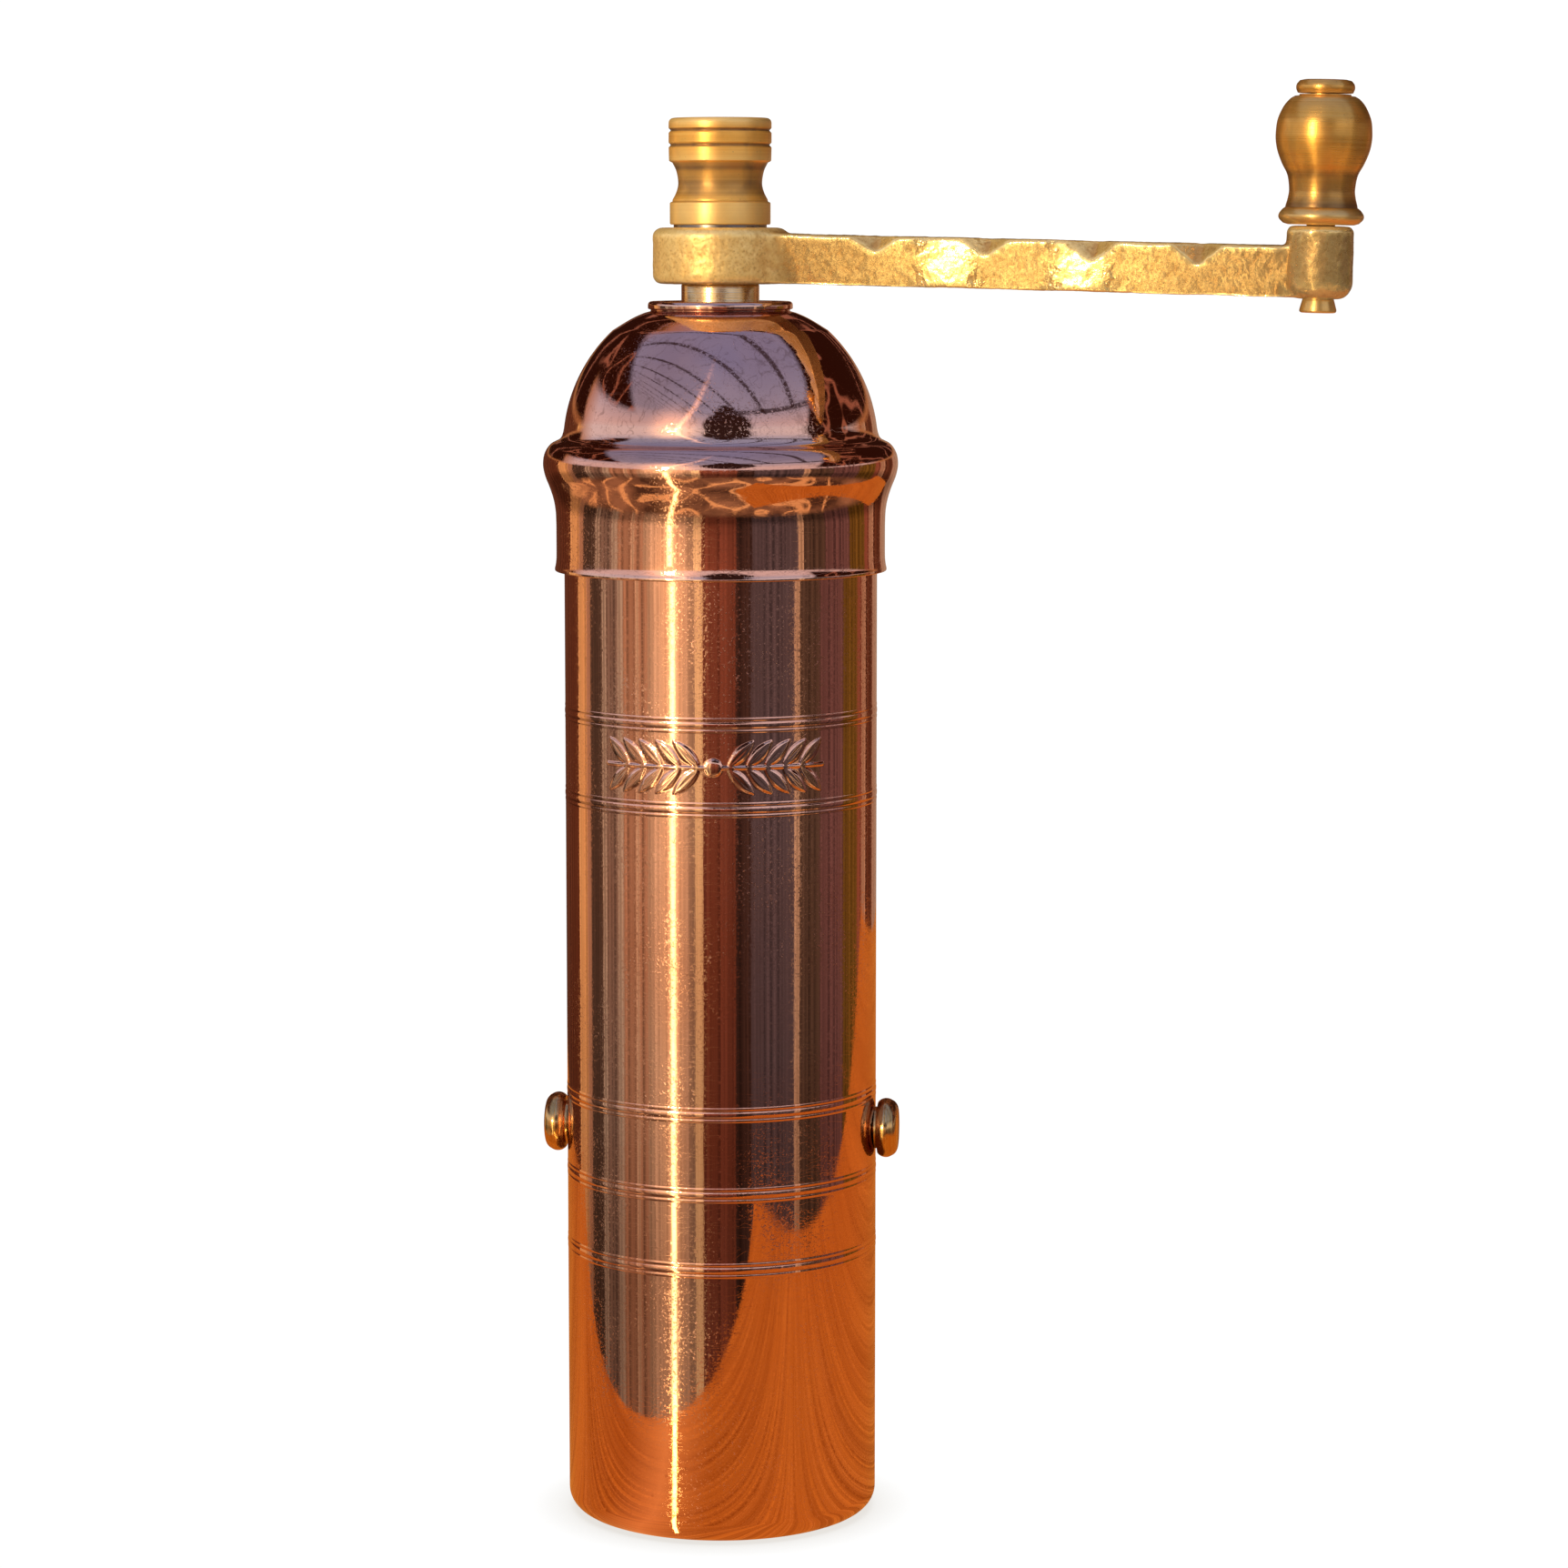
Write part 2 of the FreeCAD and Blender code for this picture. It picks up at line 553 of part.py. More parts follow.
def finial():
    """Turned nut that holds the crank down: base ring, waist and a grooved head."""
    bottom = HUB_TOP_Z + WASHER_THICK
    bore = STUD_R + THREAD_GAP
    groove = 0.35
    outline = Outline(bore, bottom).line(FINIAL_BASE_R, bottom).line(FINIAL_BASE_R, 194.5)
    outline.line(FINIAL_BASE_R - 0.35, 194.9)
    outline.arc(FINIAL_WAIST_R, FINIAL_WAIST_Z, FINIAL_BASE_R - 0.35, 200.5).line(FINIAL_R, 200.85)
    for z in FINIAL_GROOVES_Z:
        outline.line(FINIAL_R, z - groove).line(FINIAL_R - groove, z).line(FINIAL_R, z + groove)
    outline.line(FINIAL_R, FINIAL_TOP_Z - 0.7)
    outline.arc(FINIAL_R - 0.2, FINIAL_TOP_Z - 0.2, FINIAL_R - 0.8, FINIAL_TOP_Z)
    outline.line(0, FINIAL_TOP_Z).line(0, STUD_TOP_Z + 1.6).line(bore, STUD_TOP_Z + 0.4)
    return outline.turned()


PIECES = (
    body_tube, burr_frame, outer_burr, inner_burr, burr_pin, side_screws, lower_bridge,
    bridge_screws, thrust_ball, adjusting_screw, adjuster_spring, drive_shaft, shaft_collar,
    dome_cap, cap_bush, crank_arm, knob_spindle, crank_knob, finial_washer, finial,
)


def main():
    os.makedirs("parts", exist_ok=True)
    for make in PIECES:
        made = make()
        shape = Part.makeCompound(made) if isinstance(made, list) else made
        for solid in shape.Solids:
            if not solid.isValid() or solid.Volume <= 0:
                print("not a sound solid:", make.__name__)
        print(make.__name__, len(shape.Solids), "solid,", round(shape.Volume), "mm3")
        shape.exportStep(os.path.join("parts", make.__name__ + ".step"))


main()
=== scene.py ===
"""Looks of the hand pepper mill: a copper tube and domed cap, a cast brass crank, a turned knob and finial.

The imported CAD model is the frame. The pieces that show are made again here with finer
shapes and worn metal finishes, and the hidden ones keep their CAD shape and get a finish.
Outlines are in millimetres, and meshes are in metres.
"""
import math
from math import radians

import bpy
import numpy as np
from mathutils import Matrix, Vector, noise


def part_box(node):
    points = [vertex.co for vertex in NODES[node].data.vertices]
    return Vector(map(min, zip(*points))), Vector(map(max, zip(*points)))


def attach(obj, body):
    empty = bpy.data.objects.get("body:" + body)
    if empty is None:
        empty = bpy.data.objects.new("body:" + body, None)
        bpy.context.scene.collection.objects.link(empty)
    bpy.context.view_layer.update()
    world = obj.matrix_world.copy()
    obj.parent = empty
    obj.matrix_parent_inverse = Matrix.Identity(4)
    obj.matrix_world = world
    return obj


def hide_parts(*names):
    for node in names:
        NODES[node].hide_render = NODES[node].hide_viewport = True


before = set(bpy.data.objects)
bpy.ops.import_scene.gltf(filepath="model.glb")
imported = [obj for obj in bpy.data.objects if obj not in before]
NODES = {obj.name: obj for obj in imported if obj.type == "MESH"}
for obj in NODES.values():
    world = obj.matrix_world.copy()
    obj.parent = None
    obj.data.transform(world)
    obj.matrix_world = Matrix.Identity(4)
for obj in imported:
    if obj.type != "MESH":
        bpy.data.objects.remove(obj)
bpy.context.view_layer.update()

MM = 0.001


def top_of(node):
    """Height of a CAD node's highest point, in millimetres."""
    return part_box(node)[1].z / MM


def foot_of(node):
    """Height of a CAD node's lowest point, in millimetres."""
    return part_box(node)[0].z / MM


# ---- sizes, in millimetres
TUBE_R = 23.0
TUBE_WALL = 1.0
TUBE_TOP = top_of("body_tube")
BEAD_BANDS = (40.9, 52.0, 63.8, 108.2, 120.4)
BEAD_PITCH = 0.86
BEAD_ROWS = ((-1, 0.50, 0.035), (0, 0.95, 0.06), (1, 0.50, 0.035))  # place, width, height
BEAD_ROW_POINTS = 45
# the tube's rolled foot, as three points of an arc
FOOT_OUTSIDE = ((20.0, 0.0), (22.121, 0.879), (TUBE_R, 3.0))
FOOT_INSIDE = ((TUBE_R - TUBE_WALL, 3.0), (21.414, 1.586), (20.0, 1.0))
FOOT_OPENING_R = 19.0
FRONT = radians(-74)  # where the embossed sprig faces
SPRIG_BANDS = BEAD_BANDS[3:]  # the bands below and above the sprig
SPRIG_ROW_GAP = 1.75  # from a band's middle to the sprig's fine rows
SPRIG_ROW_STEP = 0.15
SPRIG_COLUMNS = 280
PLAIN_COLUMNS = 150
SPRIG_Z = 114.3
SPRIG_HEIGHT = 0.16
LEAF_PAIRS = 5
LEAF_PITCH = 2.7
LEAF_START = 2.0
LEAF_LENGTH = 5.4
LEAF_WIDTH = 2.0
LEAF_ANGLE = radians(45)
RIB_HALF_WIDTH = 0.2
RIB_SHARE = 0.35  # the midrib's depth, as a share of the leaf's height
STEM_HALF_WIDTH = 0.27
STEM_SHARE = 0.8  # height next to a leaf's
BERRY_SHARE = 1.3
BERRY_R = 1.3
CAP_FOOT = foot_of("dome_cap")
CAP_TOP = top_of("dome_cap")
SKIRT_R = 24.15
SKIRT_RIM_R = 24.4
DOME_R = 23.1
DOME_CENTRE = 159.2
HUB_SEAT = top_of("shaft_collar")
COLLAR_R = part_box("shaft_collar")[1].x / MM
SHAFT_R = 4.0
SIDE_SCREW_AZIMUTH = radians(12)
SIDE_SCREW_Z = 58.0
SIDE_SCREW_CROWN = 26.5  # from the tube's axis
SIDE_SCREW_TIP = 17.8
SIDE_SCREW_R = 2.0
SLOT_HALF_WIDTH = 0.5
SLOT_HALF_LENGTH = 5.0
SLOT_DEPTH = 1.1
CRANK_RADIUS = 88.6
ARM_MID = 186.75
BOSS_TOP = 6.4  # above the arm's middle
ARM_DROOP = radians(1.25)
CAST_VOXEL = 0.26
CAST_LUMPS = ((0.10, 0.16), (0.06, 0.7), (0.035, 2.0))  # height, and lumps in a millimetre
CAST_LUMP_SHIFT = 0.05
CAST_LUMP_DEPTH = 0.25
# lean of the arm's flat sides, as millimetres outwards for each one upwards
LEAN_ALL_OVER = -0.20
LEAN_MIDDLE, LEAN_MIDDLE_AT, LEAN_MIDDLE_SPREAD = 0.11, 46, 28
LEAN_LOCAL, LEAN_SPREAD = 0.16, 4.6
LEAN_PLACES = (35.5, 55.0)  # where the sides lean back most, from the hub
LEAN_START, LEAN_END = 9, 86
FINIAL_FOOT = foot_of("finial")
FINIAL_TOP = top_of("finial")
FINIAL_R = 7.5
FINIAL_FOOT_R = 7.35
FINIAL_WAIST_END_R = 6.95
FINIAL_BORE_R = 3.1
FINIAL_GROOVES = (202.9, 205.0)
FINIAL_GROOVE_DEPTH = 0.34
RIVET_R = 2.0
KNOB_BORE_R = 2.12
SHARP_ANGLE = radians(40)

# ---- colours, linear
COPPER = (0.94, 0.54, 0.39)
COPPER_DEEP = (0.87, 0.43, 0.28)
COPPER_TARNISH = (0.32, 0.11, 0.06)
COPPER_RUBBED = (0.97, 0.66, 0.48)
BRASS = (0.96, 0.57, 0.15)
BRASS_DEEP = (0.80, 0.37, 0.06)
BRASS_TARNISH = (0.22, 0.13, 0.065)
BRASS_RUBBED = (0.99, 0.74, 0.32)
NOTCH_BROWN = (0.50, 0.25, 0.07)
CAST_BRASS = (0.93, 0.68, 0.29)
CAST_BRASS_DEEP = (0.70, 0.44, 0.14)
CAST_BRASS_STAIN = (0.55, 0.31, 0.10)
SCREW_BRASS = (0.92, 0.68, 0.32)
PALE_BRASS = (0.88, 0.80, 0.58)
STEEL = (0.56, 0.55, 0.53)
STEEL_DARK = (0.16, 0.155, 0.15)
IRON = (0.20, 0.195, 0.19)
PEPPER_DUST = (0.09, 0.065, 0.04)


# ---- outlines
def arc(start, middle, end, steps=12):
    """Points along the circle through three points, both ends included."""
    (ax, ay), (bx, by), (cx, cy) = start, middle, end
    d = 2 * (ax * (by - cy) + bx * (cy - ay) + cx * (ay - by))
    a2, b2, c2 = ax * ax + ay * ay, bx * bx + by * by, cx * cx + cy * cy
    ux = (a2 * (by - cy) + b2 * (cy - ay) + c2 * (ay - by)) / d
    uy = (a2 * (cx - bx) + b2 * (ax - cx) + c2 * (bx - ax)) / d
    radius = math.hypot(ax - ux, ay - uy)
    first = math.atan2(ay - uy, ax - ux)
    through = (math.atan2(by - uy, bx - ux) - first) % math.tau
    sweep = (math.atan2(cy - uy, cx - ux) - first) % math.tau
    if through > sweep:
        sweep -= math.tau
    turns = [first + sweep * i / steps for i in range(steps + 1)]
    return [(ux + radius * math.cos(t), uy + radius * math.sin(t)) for t in turns]


def curve(*points, steps=6):
    """A smooth line through the points, both ends included."""
    p = np.array(points, float)
    p = np.vstack([2 * p[0] - p[1], p, 2 * p[-1] - p[-2]])
    line = []
    for i in range(1, len(p) - 2):
        for t in np.arange(steps) / steps:
            line.append(
                0.5 * (2 * p[i] + (p[i + 1] - p[i - 1]) * t
                       + (2 * p[i - 1] - 5 * p[i] + 4 * p[i + 1] - p[i + 2]) * t ** 2
                       + (3 * p[i] - p[i - 1] - 3 * p[i + 1] + p[i + 2]) * t ** 3)
            )
    return [tuple(q) for q in line] + [tuple(p[-2])]


def rounded(corners, closed=True, steps=4):
    """The outline with each corner that has a third number rounded by that radius."""
    line = []
    count = len(corners)
    for i, corner in enumerate(corners):
        here = np.array(corner[:2], float)
        at_end = not closed and i in (0, count - 1)
        if len(corner) < 3 or at_end:
            line.append(tuple(here))
            continue
        before = np.array(corners[i - 1][:2], float) - here
        after = np.array(corners[(i + 1) % count][:2], float) - here
        long_before, long_after = np.linalg.norm(before), np.linalg.norm(after)
        before, after = before / long_before, after / long_after
        half = math.acos(np.clip(before @ after, -1, 1)) / 2
        back = min(corner[2] / math.tan(half), 0.49 * long_before, 0.49 * long_after)
        radius = back * math.tan(half)
        centre = here + (before + after) / np.linalg.norm(before + after) * radius / math.sin(half)
        middle = centre + (here - centre) / np.linalg.norm(here - centre) * radius
        ends = tuple(here + before * back), tuple(here + after * back)
        line += arc(ends[0], tuple(middle), ends[1], steps)
    return line


def standing(line, reach):
    """How far each point of a closed outline stands out from the outline's average within reach."""
    p = np.array(line, float)
    ahead = np.roll(p, -1, axis=0)
    gaps = np.linalg.norm(ahead - p, axis=1)
    samples = []
    for a, b, gap in zip(p, ahead, gaps):
        count = max(1, int(gap / (reach / 6)))
        samples += [a + (b - a) * i / count for i in range(count)]
    samples = np.array(samples)
    tangent = ahead - np.roll(p, 1, axis=0)
    outward = np.stack([tangent[:, 1], -tangent[:, 0]], axis=1)
    outward /= np.linalg.norm(outward, axis=1)[:, None] + 1e-12
    area = np.sum(p[:, 0] * ahead[:, 1] - ahead[:, 0] * p[:, 1])
    heights = []
    for point, out in zip(p, outward * (1 if area > 0 else -1)):
        near = samples[np.linalg.norm(samples - point, axis=1) < reach]
        heights.append((point - near.mean(axis=0)) @ out / reach)
    return np.array(heights)


# ---- meshes
def show(name, data):
    """A new object in the scene, with a mesh, a lamp or a camera."""
    made = bpy.data.objects.new(name, data)
    bpy.context.scene.collection.objects.link(made)
    return made


def add_floats(mesh, key, values):
    """One float for each vertex, as an attribute that a finish can read."""
    made = mesh.attributes.new(key, "FLOAT", "POINT")
    made.data.foreach_set("value", np.asarray(values, np.float32))


def new_piece(name, vertices, faces, **attributes):
    """A smooth-shaded mesh object, with a float for each vertex in each attribute."""
    mesh = bpy.data.meshes.new(name)
    mesh.from_pydata([tuple(v) for v in vertices], [], faces)
    for key, values in attributes.items():
        add_floats(mesh, key, values)
    mesh.validate()
    mesh.shade_smooth()
    mesh.set_sharp_from_angle(angle=SHARP_ANGLE)
    return show(name, mesh)


def turned(name, line, segments=160, angles=None, relief=None, reach=0.6):
    """The closed outline turned about the Z axis. relief(angle, height, radius) gives what to
    add to the radius, and to the attribute that says how far the surface stands out."""
    if angles is None:
        angles = np.arange(segments) * math.tau / segments
    rows = np.array(line, float)
    heights = standing(line, reach)
    if np.sum(rows[:, 0] * np.roll(rows[:, 1], -1) - np.roll(rows[:, 0], -1) * rows[:, 1]) < 0:
        rows, heights = rows[::-1], heights[::-1]
    radius = np.repeat(rows[:, :1], len(angles), axis=1)
    stands = np.repeat(heights[:, None], len(angles), axis=1)
    if relief:
        added, edge = relief(angles[None, :], rows[:, 1:2], rows[:, :1])
        radius = radius + added
        stands = stands + edge
    x, y = radius * np.cos(angles), radius * np.sin(angles)
    z = np.repeat(rows[:, 1:], len(angles), axis=1)
    vertices = np.stack([x, y, z], axis=-1).reshape(-1, 3) * MM
    faces = faces_of_rows(len(angles), rows[:, 0] < 1e-6)
    used = np.unique(np.concatenate([np.array(f) for f in faces]))
    place = np.full(len(vertices), -1)
    place[used] = np.arange(len(used))
    faces = [[int(place[c]) for c in f] for f in faces]
    return new_piece(name, vertices[used], faces, standing=stands.reshape(-1)[used])


def faces_of_rows(across, on_axis):
    """Faces between closed rows of points. A row on the axis counts as its first point."""
    faces = []
    for i in range(len(on_axis)):
        j = (i + 1) % len(on_axis)
        if on_axis[i] and on_axis[j]:
            continue
        for k in range(across):
            n = (k + 1) % across
            corners = [i * across + k, i * across + n, j * across + n, j * across + k]
            if on_axis[i]:
                corners = [i * across, corners[2], corners[3]]
            elif on_axis[j]:
                corners = [corners[0], corners[1], j * across]
            faces.append(corners)
    return faces


def apply_modifiers(piece):
    """Puts the piece's modifiers into its mesh."""
    graph = bpy.context.evaluated_depsgraph_get()
    mesh = bpy.data.meshes.new_from_object(piece.evaluated_get(graph))
    piece.modifiers.clear()
    piece.data = mesh


def vectors_of(collection, key):
    """One vector for each item of a mesh's collection, as rows of an array."""
    values = np.empty(len(collection) * 3, np.float32)
    collection.foreach_get(key, values)
    return values.reshape(-1, 3).astype(float)


def move_points(mesh, points):
    """Puts the mesh's vertices at the points."""
    mesh.vertices.foreach_set("co", points.astype(np.float32).ravel())
    mesh.update()


def neighbour_average(values, edges, times):
    """Each point's value averaged with its neighbours', several times over."""
    here, there = np.concatenate([edges, edges[:, ::-1]]).T
    count = np.bincount(here, minlength=len(values))
    for _ in range(times):
        total = np.zeros_like(values)
        np.add.at(total, here, values[there])
        values = total / count[:, None]
    return values


# ---- finishes
class Finish:
    """A node material in the making. Coordinates are the piece's own, in millimetres."""

    def __init__(self, name, **sockets):
        self.material = bpy.data.materials.new(name)
        self.material.use_nodes = True
        self.tree = self.material.node_tree
        self.tree.nodes.clear()
        self.shader = self.add("BsdfPrincipled", {"Metallic": 1.0, **sockets})
        self.output = self.add("OutputMaterial")
        self.tree.links.new(self.shader.outputs[0], self.output.inputs["Surface"])
        self.place = self.add("TexCoord").outputs["Object"]

    def add(self, kind, inputs=None, **settings):
        """A new shader node. Each input is a socket to link or a constant value."""
        made = self.tree.nodes.new("ShaderNode" + kind)
        for key, value in settings.items():
            setattr(made, key, value)
        for key, value in (inputs or {}).items():
            if isinstance(value, bpy.types.NodeSocket):
                self.tree.links.new(value, made.inputs[key])
            else:
                made.inputs[key].default_value = value
        return made

    def at(self, stretch):
        """Coordinates in millimetres, times one stretch or one each along X, Y and Z."""
        factors = tuple(s / MM for s in (stretch if isinstance(stretch, tuple) else (stretch,) * 3))
        return self.add("VectorMath", {0: self.place, 1: factors}, operation="MULTIPLY").outputs[0]

    def math(self, operation, a, b=0.0):
        return self.add("Math", {0: a, 1: b}, operation=operation).outputs[0]

    def distance(self, a, b):
        """How far two values are apart."""
        return self.math("ABSOLUTE", self.math("SUBTRACT", a, b))

    def rest_of(self, share):
        """1 less a share."""
        return self.math("SUBTRACT", 1.0, share)

    def span(self, value, low, high, to_low=0.0, to_high=1.0):
        """The value, with low to high spread over to_low to to_high and held there."""
        inputs = {0: value, 1: low, 2: high, 3: to_low, 4: to_high}
        return self.add("MapRange", inputs, clamp=True).outputs[0]

    def noise(self, stretch, detail=3.0, low=0.3, high=0.7, warp=0.0):
        """Soft noise from 0 to 1. stretch gives how many lumps there are in a millimetre."""
        inputs = {"Vector": self.at(stretch), "Scale": 1.0, "Detail": detail, "Distortion": warp}
        return self.span(self.add("TexNoise", inputs).outputs[0], low, high)

    def spots(self, per_mm, size):
        """Small round spots, 1 in the middle, with a different weight for each."""
        inputs = {"Vector": self.at(per_mm), "Scale": 1.0}
        cells = self.add("TexVoronoi", inputs)
        chosen = self.span(cells.outputs["Color"], 0.55, 0.9)
        return self.times(self.span(cells.outputs["Distance"], size, 0.0), chosen)

    def hairlines(self, stretch, width=0.006, warp=0.4):
        """Thin wandering scratches, longest along the axis that is stretched least."""
        inputs = {"Vector": self.at(stretch), "Scale": 1.0, "Detail": 2.0, "Distortion": warp}
        field = self.add("TexNoise", inputs).outputs[0]
        return self.span(self.distance(field, 0.5), width, 0.0)

    def worn(self, hollow, edge):
        """What lies low and what stands out on the piece, 0 to 1 over two spans of "standing"."""
        stands = self.add("Attribute", attribute_name="standing", attribute_type="GEOMETRY")
        return [self.span(stands.outputs["Fac"], *ends) for ends in (hollow, edge)]

    def mix(self, share, a, b):
        """Colour a, going to colour b as the share goes to 1."""
        a, b = ((c + (1.0,)) if isinstance(c, tuple) else c for c in (a, b))
        return self.add("Mix", {0: share, 6: a, 7: b}, data_type="RGBA").outputs[2]

    def sum(self, *values):
        total = values[0]
        for value in values[1:]:
            total = self.math("ADD", total, value)
        return total

    def times(self, value, factor):
        return self.math("MULTIPLY", value, factor)

    def weighed(self, base, *parts):
        """A base value with a weighed part of each other value added."""
        return self.sum(*(self.times(value, weight) for value, weight in parts), base)

    def layers(self, color, *coats):
        """The colour under coats, each given as its share, its strength and its colour."""
        for share, strength, coat in coats:
            color = self.mix(self.times(share, strength), color, coat)
        return color

    def set(self, color, roughness):
        """Links the two sockets that every finish varies."""
        self.tree.links.new(color, self.shader.inputs["Base Color"])
        self.tree.links.new(roughness, self.shader.inputs["Roughness"])

    def turned_grain(self, amount):
        """Light spreads across the marks of the lathe, which run round the Z axis."""
        self.shader.inputs["Anisotropic"].default_value = amount
        self.shader.inputs["Anisotropic Rotation"].default_value = 0.25
        tangent = self.add("Tangent", direction_type="RADIAL", axis="Z").outputs[0]
        self.tree.links.new(tangent, self.shader.inputs["Tangent"])

    def done(self, *bumps):
        """The finished material, its surface raised by each height times a depth in millimetres."""
        bumped = self.shader
        for height, depth in reversed(bumps):
            inputs = {"Height": height, "Distance": depth * MM, "Strength": 1.0}
            made = self.add("Bump", inputs)
            self.tree.links.new(made.outputs[0], bumped.inputs["Normal"])
            bumped = made
        return self.material


def darker(color, share=0.5):
    """The colour with only a share of its light."""
    return tuple(share * c for c in color)


def copper_finish(name, drawn):
    """Polished copper. drawn is how strongly lengthwise marks show, as on a drawn tube."""
    f = Finish(name)
    hollow, edge = f.worn((-0.01, -0.12), (0.03, 0.16))
    tone = f.noise((0.05, 0.05, 0.03), detail=4)
    smudge = f.noise((0.16, 0.16, 0.10), detail=5, low=0.45, high=0.75, warp=0.6)
    lengthwise = f.noise((5.0, 5.0, 0.09), detail=3, low=0.35, high=0.75)
    around = f.noise((0.10, 0.10, 4.5), detail=3, low=0.35, high=0.75)
    dust = f.noise(2.8, detail=2, low=0.55, high=0.70)
    dusty = f.times(dust, f.noise((0.09, 0.09, 0.05), detail=3, low=0.38, high=0.60))
    specks = f.spots(1.1, 0.30)
    scratches = f.hairlines((0.22, 0.22, 0.9))
    stains = f.spots(0.35, 0.12)
    color = f.layers(
        f.mix(tone, COPPER_DEEP, COPPER),
        (hollow, 0.6, COPPER_TARNISH), (stains, 0.5, COPPER_TARNISH), (edge, 0.5, COPPER_RUBBED),
    )
    f.set(color, f.weighed(
        0.022, (smudge, 0.035), (lengthwise, 0.02 * drawn), (around, 0.01),
        (dusty, 0.28), (specks, 0.16), (scratches, 0.10), (hollow, 0.08),
    ))
    waves = f.noise((0.07, 0.07, 0.035), detail=1, low=0.0, high=1.0)
    return f.done((waves, 0.03), (lengthwise, 0.0005 * drawn), (around, 0.0004), (dusty, 0.004),
                  (specks, 0.005), (scratches, -0.0010))


def turned_brass_finish(name, satin, tarnish, roughness):
    """Brass from the lathe, with fine rings. satin is the share of its light that scatters as
    from dull metal, tarnish the strength of its brown patina, roughness that of clean metal."""
    f = Finish(name, Metallic=1.0 - satin, **{"Specular IOR Level": 0.3})
    hollow, edge = f.worn((0.0, -0.09), (0.04, 0.18))
    rings = f.noise((0.02, 0.02, 7.0), detail=4)
    wide_rings = f.noise((0.01, 0.01, 1.6), detail=3, low=0.35, high=0.65)
    patches = f.noise((0.30, 0.30, 0.20), detail=5, low=0.42, high=0.75, warp=0.8)
    dirt = f.spots(1.6, 0.24)
    brown = f.sum(f.times(hollow, 0.9), f.times(patches, 0.30))
    color = f.layers(
        f.mix(rings, BRASS_DEEP, BRASS), (wide_rings, 0.35, BRASS_DEEP),
        (brown, tarnish, BRASS_TARNISH), (dirt, 0.6, BRASS_TARNISH), (edge, 0.5, BRASS_RUBBED),
    )
    f.set(color, f.weighed(roughness, (rings, 0.08), (patches, 0.06), (dirt, 0.2)))
    f.turned_grain(0.5)
    return f.done((rings, 0.006), (wide_rings, 0.010), (dirt, -0.008))


def cast_brass_finish(name):
    """Sand-cast brass: grainy, pitted, rubbed bright on what stands out and brown in what is low.
    The hub is duller, and the arm's sides catch light from below except at the lean places."""
    f = Finish(name, Metallic=0.80, **{"Specular IOR Level": 0.3})
    hollow, edge = f.worn((0.0, -0.45), (0.15, 0.60))
    lumps = f.noise(0.9, detail=2)
    grain = f.noise(2.4, detail=4)
    pits = f.spots(1.5, 0.22)
    patches = f.noise(0.13, detail=4, low=0.38, high=0.62)
    from_hub = f.add("VectorMath", {0: f.at((1, 1, 0))}, operation="LENGTH").outputs["Value"]
    at_hub = f.span(from_hub, 12.0, 10.0)
    # painted shade: the brass darkens towards the hub and towards the arm's end, where the sun's highlight
    # falls off
    dull = f.sum(f.span(from_hub, 30.0, 14.0), f.span(from_hub, 64.0, 80.0))
    dull = f.times(dull, f.rest_of(at_hub))
    low_grain = f.span(grain, 0.42, 0.0)
    dark = f.math("MINIMUM", f.sum(f.times(pits, 0.5), f.times(low_grain, 0.35)), 1.0)
    # the arm's ends get the tarnish colour as painted shade, not as tarnish
    color = f.layers(
        f.mix(f.sum(f.times(lumps, 0.4), f.times(grain, 0.6)), CAST_BRASS_DEEP, CAST_BRASS),
        (patches, 0.35, CAST_BRASS_STAIN), (dull, 0.55, BRASS_TARNISH), (hollow, 0.75, NOTCH_BROWN),
        (dark, 1.0, BRASS_TARNISH), (edge, 0.45, BRASS_RUBBED),
    )
    f.set(color, f.weighed(
        0.24, (grain, -0.10), (patches, 0.08), (pits, 0.15), (edge, -0.06), (at_hub, 0.22)))
    above_middle = f.math("SUBTRACT", f.add("SeparateXYZ", {0: f.at(1)}).outputs[2], ARM_MID)
    facing_down = f.rest_of(at_hub)
    for place in LEAN_PLACES:
        away = f.sum(f.distance(from_hub, place), f.times(lumps, 1.6))
        facing_down = f.times(facing_down, f.span(away, 4.2, 5.6))
    lean = f.times(above_middle, facing_down)
    return f.done((lean, 0.09), (lumps, 0.024), (grain, 0.009), (pits, -0.03))


def machined_finish(name, light, dark, roughness=0.25, grain=0.5):
    """Bare turned metal with rings, small stains and some wear."""
    f = Finish(name)
    rings = f.noise((0.03, 0.03, 5.0), detail=4)
    stains = f.noise(0.35, detail=5, low=0.4, high=0.75, warp=0.5)
    specks = f.spots(1.3, 0.3)
    color = f.layers(f.mix(rings, dark, light), (stains, 0.5, dark), (specks, 0.6, darker(dark, 0.4)))
    f.set(color, f.weighed(roughness, (rings, 0.10), (stains, 0.14), (specks, 0.15)))
    f.turned_grain(grain)
    return f.done((rings, 0.005), (specks, -0.006))


def cast_iron_finish(name, light, dark):
    """Grey casting: grainy, a little pitted, with a dusting of ground pepper in the low places."""
    f = Finish(name)
    lumps = f.noise(0.7, detail=4)
    grain = f.noise(2.6, detail=5)
    dust = f.noise(0.3, detail=6, low=0.5, high=0.75)
    color = f.mix(f.sum(f.times(lumps, 0.5), f.times(grain, 0.5)), dark, light)
    f.set(f.layers(color, (dust, 0.5, PEPPER_DUST)), f.weighed(0.42, (grain, 0.2), (dust, 0.25)))
    return f.done((lumps, 0.06), (grain, 0.03))


def wear(piece, material):
    """Gives the piece one material."""
    piece.data.materials.clear()
    piece.data.materials.append(material)


def settle(piece, material, body, node):
    """Gives the piece its material. It rides on the body and stands for the node, whose CAD mesh is hidden.
    """
    wear(piece, material)
    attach(piece, body)
    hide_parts(node)


